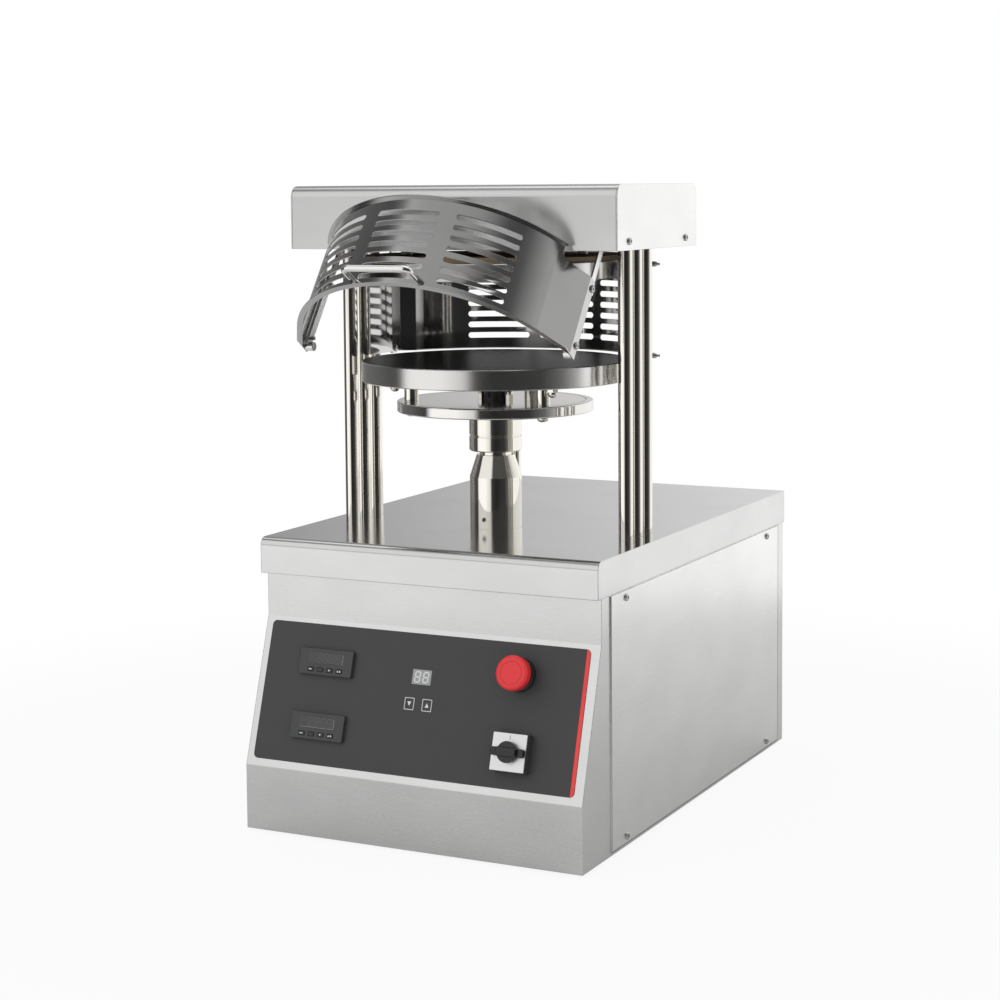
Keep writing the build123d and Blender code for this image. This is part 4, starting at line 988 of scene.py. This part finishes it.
@dataclass(frozen=True)
class Digits:
    """A row of seven-bar digits with every bar in place."""

    count: int
    width: float
    height: float
    pitch: float
    bar: float
    slant: float = 0.08
    trim: float = 0.6

    def outlines(self, right: float = 0.0) -> list[list[Flat]]:
        """Outlines of all bars about the middle of the row.

        Args:
            right: how far the whole row is moved to the right.

        Returns:
            One outline for each bar, anticlockwise.
        """
        found = []
        for index in range(self.count):
            left = (index - (self.count - 1) / 2.0) * self.pitch - self.width / 2.0
            for segment in Segment:
                found.append([(x + right, y) for x, y in self.bar_outline(segment, left)])
        return found

    def bar_outline(self, segment: Segment, left: float) -> list[Flat]:
        """Six-sided outline of one bar.

        Args:
            segment: which bar.
            left: left side of its digit.

        Returns:
            Its outline, anticlockwise.
        """
        start, end = (
            Vector((left + across / 2.0 * self.width, (up / 4.0 - 0.5) * self.height))
            for across, up in segment.value
        )
        along = (end - start).normalized()
        across = Vector((-along.y, along.x)) * self.bar / 2.0
        point = along * self.bar / 2.0
        start += along * self.bar * self.trim
        end -= along * self.bar * self.trim
        corners = [start - point, start - across, end - across, end + point, end + across, start + across]
        return [(corner.x + corner.y * self.slant, corner.y) for corner in corners]


@dataclass
class Timer:
    """Two pale digits behind a lens in the dark plate, with two printed keys below."""

    press: Press
    lens: MouldedPlastic = MouldedPlastic("timer_lens", colour=(0.34, 0.345, 0.35), gloss=(0.25, 0.35))
    lit: MouldedPlastic = MouldedPlastic("timer_segments", colour=(0.76, 0.76, 0.77), gloss=(0.25, 0.35))
    white: MouldedPlastic = MouldedPlastic("print_white", colour=(0.78, 0.78, 0.78))
    digits: Digits = Digits(count=2, width=6.4 * MM, height=12.0 * MM, pitch=11.0 * MM, bar=1.6 * MM)
    middle: Flat = (-0.5 * MM, 126.5 * MM)
    lens_w: float = 25.3 * MM
    lens_h: float = 17.8 * MM
    lens_back: float = 0.2 * MM
    lens_face: float = 0.1 * MM
    digit_face: float = 0.04 * MM
    down_key: Flat = (-12.5 * MM, 94.2 * MM)
    up_key: Flat = (11.2 * MM, 94.2 * MM)
    key_w: float = 12.9 * MM
    key_h: float = 14.5 * MM
    key_line: float = 0.85 * MM
    key_outer_r: float = 1.2 * MM
    key_inner_r: float = 0.6 * MM
    arrow: float = 5.2 * MM

    def build(self) -> None:
        """Lay the lens and its digits, then print the keys."""
        place = self.press.panel_at(*self.middle)
        top = self.press.overlay_t
        window = rectangle(self.lens_w, self.lens_h)
        lay("timer_lens", self.lens, [window], (top - self.lens_back, top - self.lens_face), place)
        shown = (top - self.lens_face, top - self.digit_face)
        lay("timer_digits", self.lit, self.digits.outlines(), shown, place)
        self.keys()

    def keys(self) -> None:
        """Print a frame and an arrow for each of the two keys."""
        outer = rounded(self.key_w, self.key_h, self.key_outer_r)
        inner = rounded(self.key_w - 2 * self.key_line, self.key_h - 2 * self.key_line, self.key_inner_r)
        half = self.arrow / 2.0
        upward = [(-half, -half), (half, -half), (0.0, half)]
        downward = [(0.0, -half), (half, half), (-half, half)]
        piece = Piece("timer_key_print")
        for key, arrow in ((self.down_key, downward), (self.up_key, upward)):
            place = self.press.panel_at(*key)
            piece.frame_prism(outer, inner, *self.press.ink, place)
            piece.prism(arrow, *self.press.ink, place)
        piece.finish(self.white, Body.BASE)


class KeyMark(Enum):
    """What a controller's key shows, with the key's number from the left."""

    BARS = 1
    DOWN = 3
    UP_AND_SQUARE = 4

    def outlines(self) -> list[list[Flat]]:
        """Outlines of the mark about the middle of its key.

        Returns:
            The outlines, anticlockwise.
        """
        if self is KeyMark.BARS:
            return [rectangle(1.0 * MM, 1.5 * MM, place * MM) for place in (-1.4, 0.0, 1.4)]
        if self is KeyMark.DOWN:
            return [[(0.0, -1.2 * MM), (1.4 * MM, 1.0 * MM), (-1.4 * MM, 1.0 * MM)]]
        triangle = [(-2.4 * MM, -1.0 * MM), (0.0, -1.0 * MM), (-1.2 * MM, 1.2 * MM)]
        return [triangle, rectangle(1.8 * MM, 1.8 * MM, 1.7 * MM)]


@dataclass
class Controllers:
    """Two temperature controllers with their windows, digits and keys."""

    press: Press
    housing: MouldedPlastic = MouldedPlastic(
        "black_housing", colour=(0.045, 0.046, 0.047), gloss=(0.3, 0.42)
    )
    window: MouldedPlastic = MouldedPlastic(
        "display_window", colour=(0.05, 0.05, 0.052), gloss=(0.12, 0.18), relief=4.0 * MICRON
    )
    rubber: MouldedPlastic = MouldedPlastic("key_rubber", colour=(0.03, 0.03, 0.031))
    white: MouldedPlastic = MouldedPlastic("key_white", colour=(0.8, 0.8, 0.8))
    # Painted highlight: pale colour of the thin lines that stand in for light caught along the window's
    # edges.
    pale: MouldedPlastic = MouldedPlastic("window_edge_highlight", colour=(0.32, 0.32, 0.32))
    unlit: MouldedPlastic = MouldedPlastic("unlit_segments", colour=(0.085, 0.085, 0.088), gloss=(0.2, 0.3))
    digits: Digits = Digits(count=4, width=5.6 * MM, height=10.4 * MM, pitch=8.6 * MM, bar=1.3 * MM)
    digits_right: float = 4.0 * MM
    bezel_t: float = 5.0 * MM
    film_t: float = 0.05 * MM
    window_up: float = 14.2 * MM
    keys_each: int = 4
    key_proud: float = 0.9 * MM
    mark_sunk: float = 0.1 * MM
    mark_raised: float = 0.04 * MM
    side_highlight: tuple[float, ...] = (0.5 * MM, 11.5 * MM, 23.0 * MM, -0.2 * MM)
    low_highlight: tuple[float, ...] = (46.0 * MM, 0.4 * MM, 0.0, -6.2 * MM)

    def build(self) -> None:
        """Dress both controllers and add what their windows and keys show."""
        paint(self.housing, "upper_controller", "lower_controller", "switch_base")
        paint(self.window, "display_windows")
        for row in ROWS:
            paint(self.rubber, *(f"{row}_key_{number + 1}" for number in range(self.keys_each)))
            self.face(row)
            self.key_marks(row)

    def face(self, row: str) -> None:
        """Lay the unlit digits and the thin pale lines of one window; the lines are painted highlights at
        the right of the digits and, in the lower window, beneath them.

        Args:
            row: upper or lower.
        """
        top = self.press.overlay_t + self.bezel_t
        levels = (top, top + self.film_t)
        place = self.press.panel_at(*self.window_middle(row))
        lay(f"{row}_digits", self.unlit, self.digits.outlines(self.digits_right), levels, place)
        # Painted highlights along the window's edges.
        lines = [rectangle(*self.side_highlight)]
        if row == "lower":
            lines.append(rectangle(*self.low_highlight))
        lay(f"{row}_window_edge_highlight", self.pale, lines, levels, place)

    def key_marks(self, row: str) -> None:
        """Lay the pale marks on the keys of one controller.

        Args:
            row: upper or lower.
        """
        top = self.press.overlay_t + self.bezel_t + self.key_proud
        levels = (top - self.mark_sunk, top + self.mark_raised)
        for mark in KeyMark:
            key = f"{row}_key_{mark.value}"
            place = self.press.panel_at(*self.press.panel_middle(key))
            lay(f"{key}_mark", self.white, mark.outlines(), levels, place, Body(key))

    def window_middle(self, row: str) -> Flat:
        """Middle of a controller's window, found from its outermost keys.

        Args:
            row: upper or lower.

        Returns:
            Its place across and up the slope.
        """
        first_x, first_y = self.press.panel_middle(f"{row}_key_1")
        last_x, last_y = self.press.panel_middle(f"{row}_key_{self.keys_each}")
        return (first_x + last_x) / 2.0, (first_y + last_y) / 2.0 + self.window_up


@dataclass
class StopButton:
    """Emergency stop with its collar, plunger and red mushroom head."""

    press: Press
    collar: MouldedPlastic = MouldedPlastic("collar_black", colour=(0.02, 0.02, 0.02))
    plunger: MouldedPlastic = MouldedPlastic("plunger_grey", colour=(0.2, 0.2, 0.2))
    head: MouldedPlastic = MouldedPlastic(
        "stop_red", colour=(0.76, 0.03, 0.036), gloss=(0.3, 0.4), tint=0.95, relief=10.0 * MICRON
    )
    ring_red: MouldedPlastic = MouldedPlastic("stop_ring_red", colour=(0.55, 0.02, 0.026), gloss=(0.3, 0.4))
    ring_r: float = 13.5 * MM
    ring_half: float = 0.35 * MM
    ring_lift: float = 0.08 * MM
    ring_segments: int = 64
    head_face: float = 27.0 * MM

    def build(self) -> None:
        """Dress the stop and lay a fine ring on the face of its head."""
        paint(self.collar, "estop_collar")
        paint(self.plunger, "estop_plunger")
        paint(self.head, "estop_head")
        near, far = self.ring_r - self.ring_half, self.ring_r + self.ring_half
        low, high = self.head_face - self.ring_lift, self.head_face + self.ring_lift
        profile = [(near, low), (far, low), (far, high), (near, high), (near, low)]
        place = self.press.panel_at(*self.press.panel_middle("estop_head"))
        piece = Piece("stop_ring")
        piece.lathe(profile, place, self.ring_segments)
        piece.finish(self.ring_red, Body.ESTOP_HEAD)


@dataclass
class MainSwitch:
    """Silver plate and black knob of the main switch."""

    press: Press
    knob: MouldedPlastic = MouldedPlastic("knob_black", colour=(0.012, 0.012, 0.013), gloss=(0.2, 0.28))
    plate: BrushedSteel = BrushedSteel(
        "switch_plate_silver", colour=(0.86, 0.86, 0.86), gloss=(0.35, 0.5)
    )
    ink: MouldedPlastic = MouldedPlastic("mark_grey", colour=(0.12, 0.12, 0.12))
    base_t: float = 12.0 * MM
    plate_t: float = 1.2 * MM
    mark_w: float = 0.6 * MM
    mark_h: float = 4.6 * MM
    mark_up: float = 17.0 * MM

    def build(self) -> None:
        """Dress the switch and print the mark of its on position."""
        paint(self.knob, "switch_knob")
        paint(self.plate, "switch_plate")
        face = self.press.overlay_t + self.base_t + self.plate_t
        mark = rectangle(self.mark_w, self.mark_h, 0.0, self.mark_up)
        place = self.press.panel_at(*self.press.panel_middle("switch_plate"))
        lay("switch_marks", self.ink, [mark], (face, face + self.press.ink_t), place)


# Studio


@dataclass(frozen=True)
class StudioCamera:
    """Camera of the photograph, placed from the middle of the base's lower front edge.

    Its angles are in degrees, and its focal length and horizon are shares of the picture's side.
    """

    press: Press
    place: Point = (1.2324, -2.2227, 0.7837)
    yaw: float = 26.48
    pitch: float = 5.0
    roll: float = -0.45
    focal: float = 2.2029
    horizon: float = 0.37541
    sensor: float = 36.0
    clip_end: float = 30.0

    def build(self) -> None:
        """Create the camera and make it the scene's."""
        yaw, pitch, roll = (math.radians(value) for value in (self.yaw, self.pitch, self.roll))
        ahead = Vector((-math.sin(yaw) * math.cos(pitch), math.cos(yaw) * math.cos(pitch), -math.sin(pitch)))
        level = Vector((math.cos(yaw), math.sin(yaw), 0.0))
        upward = level.cross(ahead)
        right = math.cos(roll) * level + math.sin(roll) * upward
        up = -math.sin(roll) * level + math.cos(roll) * upward
        data = bpy.data.cameras.new("studio_camera")
        data.sensor_width = self.sensor
        data.lens = self.focal * self.sensor
        data.shift_y = self.horizon - 0.5
        data.clip_end = self.clip_end
        holder = bpy.data.objects.new("studio_camera", data)
        turn = Matrix((right, up, -ahead)).transposed().to_4x4()
        x, y, z = self.place
        holder.matrix_world = Matrix.Translation((x, y + self.press.front, z + self.press.under)) @ turn
        bpy.context.scene.collection.objects.link(holder)
        bpy.context.scene.camera = holder


@dataclass(frozen=True)
class Floor:
    """Round pale floor that shows white to the camera and keeps a soft shadow."""

    radius: float = 1.5
    calm_r: float = 0.75
    fade_end: float = 0.97
    glow: float = 0.91
    paint: float = 0.66
    segments: int = 128

    def build(self) -> None:
        """Make the floor and its material."""
        pale = bpy.data.materials.new("floor_white")
        pale.use_nodes = True
        tree = Graph(pale.node_tree)
        matt = tree.add("ShaderNodeBsdfDiffuse")
        tree.feed(matt, "Color", (self.paint, self.paint, self.paint, 1.0))
        glow = tree.add("ShaderNodeEmission")
        tree.feed(glow, "Color", WHITE)
        away = tree.vector_maths("LENGTH", tree.place()).outputs["Value"]
        fade = tree.ranged(away, (self.calm_r, self.radius * self.fade_end), (self.glow, 1.0), smooth=True)
        share = tree.maths("MULTIPLY", tree.seen(), fade)
        surface = tree.over(share, matt.outputs[0], glow.outputs[0])
        tree.feed(tree.add("ShaderNodeOutputMaterial"), "Surface", surface)
        mesh = bmesh.new()
        mesh.faces.new([mesh.verts.new((x, y, 0.0)) for x, y in circle(self.radius, self.segments)])
        data = bpy.data.meshes.new("floor")
        mesh.to_mesh(data)
        mesh.free()
        data.materials.append(pale)
        floor = bpy.data.objects.new("floor", data)
        bpy.context.scene.collection.objects.link(floor)


def turned(degrees: float) -> float:
    """Place on the walls' ramp of a direction, counted from the front towards the right."""
    return (degrees + 180.0) / 360.0


def raised(degrees: float) -> float:
    """Place on the horizon's ramp of a direction's height over the horizon."""
    return (math.sin(math.radians(degrees)) + 1.0) / 2.0


def backward(share: float) -> float:
    """Place on the ceiling's ramp of a direction's part to the back, from -1 to 1."""
    return (share + 1.0) / 2.0


@dataclass(frozen=True)
class Room:
    """Light of the room: grey levels by direction for the gloss, and even light for the rest."""

    strength: float = 1.05
    soft: float = 0.92
    white: float = 1.0
    low_walls: tuple[Flat, ...] = (
        (turned(-180), 1.0),
        (turned(-162), 0.85),
        (turned(-146), 0.32),
        (turned(-120), 0.16),
        (turned(-88), 0.12),
        (turned(-62), 0.05),
        (turned(-54), 1.2),
        (turned(-20), 1.2),
        (turned(1), 0.85),
        (turned(8), 0.05),
        (turned(26), 0.02),
        (turned(66), 0.04),
        (turned(86), 0.15),
        (turned(101), 0.45),
        (turned(110), 1.1),
        (turned(180), 1.1),
    )
    high_walls: tuple[Flat, ...] = (
        (turned(-180), 1.0),
        (turned(-162), 0.8),
        (turned(-146), 0.35),
        (turned(-100), 0.15),
        (turned(-62), 0.05),
        (turned(-56), 0.98),
        (turned(2), 0.98),
        (turned(12), 0.08),
        (turned(90), 0.08),
        (turned(106), 0.45),
        (turned(128), 0.95),
        (turned(150), 1.0),
        (turned(180), 1.1),
    )
    horizon: tuple[Flat, ...] = (
        (raised(-90), 0.6),
        (raised(-14), 0.75),
        (raised(-8), 1.0),
        (raised(-4), 1.0),
        (raised(0), 0.5),
        (raised(12), 0.85),
    )
    ceiling: tuple[Flat, ...] = (
        (backward(-1.0), 0.5),
        (backward(-0.25), 0.45),
        (backward(-0.04444), 0.34),
        (backward(0.11111), 1.5),
        (backward(1.0), 1.5),
    )
    back_band: Flat = (-0.5, -0.1)
    wall_band: Flat = (0.10, 0.24)
    ceiling_band: Flat = (0.72, 0.9)

    def build(self) -> None:
        """Make the world: room light for the gloss, soft light for the rest, white to the camera."""
        world = bpy.data.worlds.new("studio_room")
        bpy.context.scene.world = world
        world.use_nodes = True
        tree = Graph(world.node_tree)
        strength = tree.maths("MULTIPLY", self.level(tree), self.strength)
        room, soft, white = (self.light(tree, value) for value in (strength, self.soft, self.white))
        glossy = tree.add("ShaderNodeLightPath").outputs["Is Glossy Ray"]
        surface = tree.over(tree.seen(), tree.over(glossy, soft, room), white)
        tree.feed(tree.add("ShaderNodeOutputWorld"), "Surface", surface)

    def level(self, tree: Graph) -> Socket:
        """Grey level of the room in each direction.

        Args:
            tree: the world's node tree.

        Returns:
            The level.
        """
        split = tree.add("ShaderNodeSeparateXYZ")
        tree.feed(split, 0, tree.place("Generated"))
        right, back, up = split.outputs
        ahead = tree.maths("MULTIPLY", back, -1.0)
        around = tree.ranged(tree.maths("ARCTAN2", right, ahead), (-math.pi, math.pi), (0.0, 1.0))
        low = self.ramp(tree, around, self.low_walls)
        high = self.ramp(tree, around, self.high_walls)
        horizon = self.ramp(tree, tree.ranged(up, (-1.0, 1.0), (0.0, 1.0)), self.horizon)
        overhead = self.ramp(tree, tree.ranged(back, (-1.0, 1.0), (0.0, 1.0)), self.ceiling)
        front_side = tree.maths("MULTIPLY", low, horizon)
        low_side = self.mixed(tree, back, self.back_band, front_side, low)
        walls = self.mixed(tree, up, self.wall_band, low_side, high)
        return self.mixed(tree, up, self.ceiling_band, walls, overhead)

    def light(self, tree: Graph, strength: Socket | float) -> Socket:
        """White light of a strength.

        Args:
            tree: the world's node tree.
            strength: its strength, linked or constant.

        Returns:
            The light's shader.
        """
        node = tree.add("ShaderNodeBackground")
        tree.feed(node, "Color", WHITE)
        tree.feed(node, "Strength", strength)
        return node.outputs[0]

    def mixed(self, tree: Graph, part: Socket, band: Flat, under: Socket, over: Socket) -> Socket:
        """Go from one level to another as the direction turns.

        Args:
            tree: the world's node tree.
            part: the part of the direction that counts.
            band: its values where the change starts and ends.
            under: level before the band.
            over: level after the band.

        Returns:
            The mixed level.
        """
        node = tree.add("ShaderNodeMix")
        tree.feed(node, 0, tree.ranged(part, band, (0.0, 1.0), smooth=True))
        tree.feed(node, 2, under)
        tree.feed(node, 3, over)
        return node.outputs[0]

    def ramp(self, tree: Graph, source: Socket, stops: Sequence[Flat]) -> Socket:
        """A ramp of greys.

        Args:
            tree: the world's node tree.
            source: the place on the ramp.
            stops: position and level of each stop.

        Returns:
            The grey at that place.
        """
        node = tree.add("ShaderNodeValToRGB")
        tree.feed(node, "Fac", source)
        elements = node.color_ramp.elements
        while len(elements) < len(stops):
            elements.new(0.5)
        for element, (position, value) in zip(elements, stops):
            element.position = position
            element.color = (value, value, value, 1.0)
        return node.outputs["Color"]


@dataclass(frozen=True)
class Lamp:
    """Square soft lamp that the gloss doesn't show; its energy is in watts."""

    name: str
    place: Point
    size: float
    energy: float
    aim: Point = (0.0, 0.0, 0.35)

    def build(self) -> None:
        """Hang the lamp and turn it to its aim."""
        data = bpy.data.lights.new(self.name, "AREA")
        data.size = self.size
        data.energy = self.energy
        holder = bpy.data.objects.new(self.name, data)
        holder.location = self.place
        holder.rotation_euler = (Vector(self.aim) - Vector(self.place)).to_track_quat("-Z", "Y").to_euler()
        holder.visible_glossy = False
        bpy.context.scene.collection.objects.link(holder)


def main() -> None:
    """Build the looks of the whole press in order."""
    logging.basicConfig(level=logging.INFO, format="%(message)s")
    press = Press()
    parts = (
        StudioCamera(press),
        Floor(),
        Room(),
        Lamp("key_lamp", place=(-1.8, -1.6, 2.4), size=1.6, energy=14.0),
        Lamp("side_lamp", place=(2.6, 0.9, 1.5), size=1.5, energy=8.0),
        Casing(),
        Tower(press),
        PlatenCoatings(press),
        SmallScrews(press),
        SocketShades(),
        ShadowGaps(),
        Guards(),
        PanelPlate(press),
        Timer(press),
        Controllers(press),
        StopButton(press),
        MainSwitch(press),
    )
    for part in parts:
        part.build()
        LOG.info("built %s", type(part).__name__)
    scene = bpy.context.scene
    scene.view_settings.view_transform = "Standard"


if __name__ == "__main__":
    main()
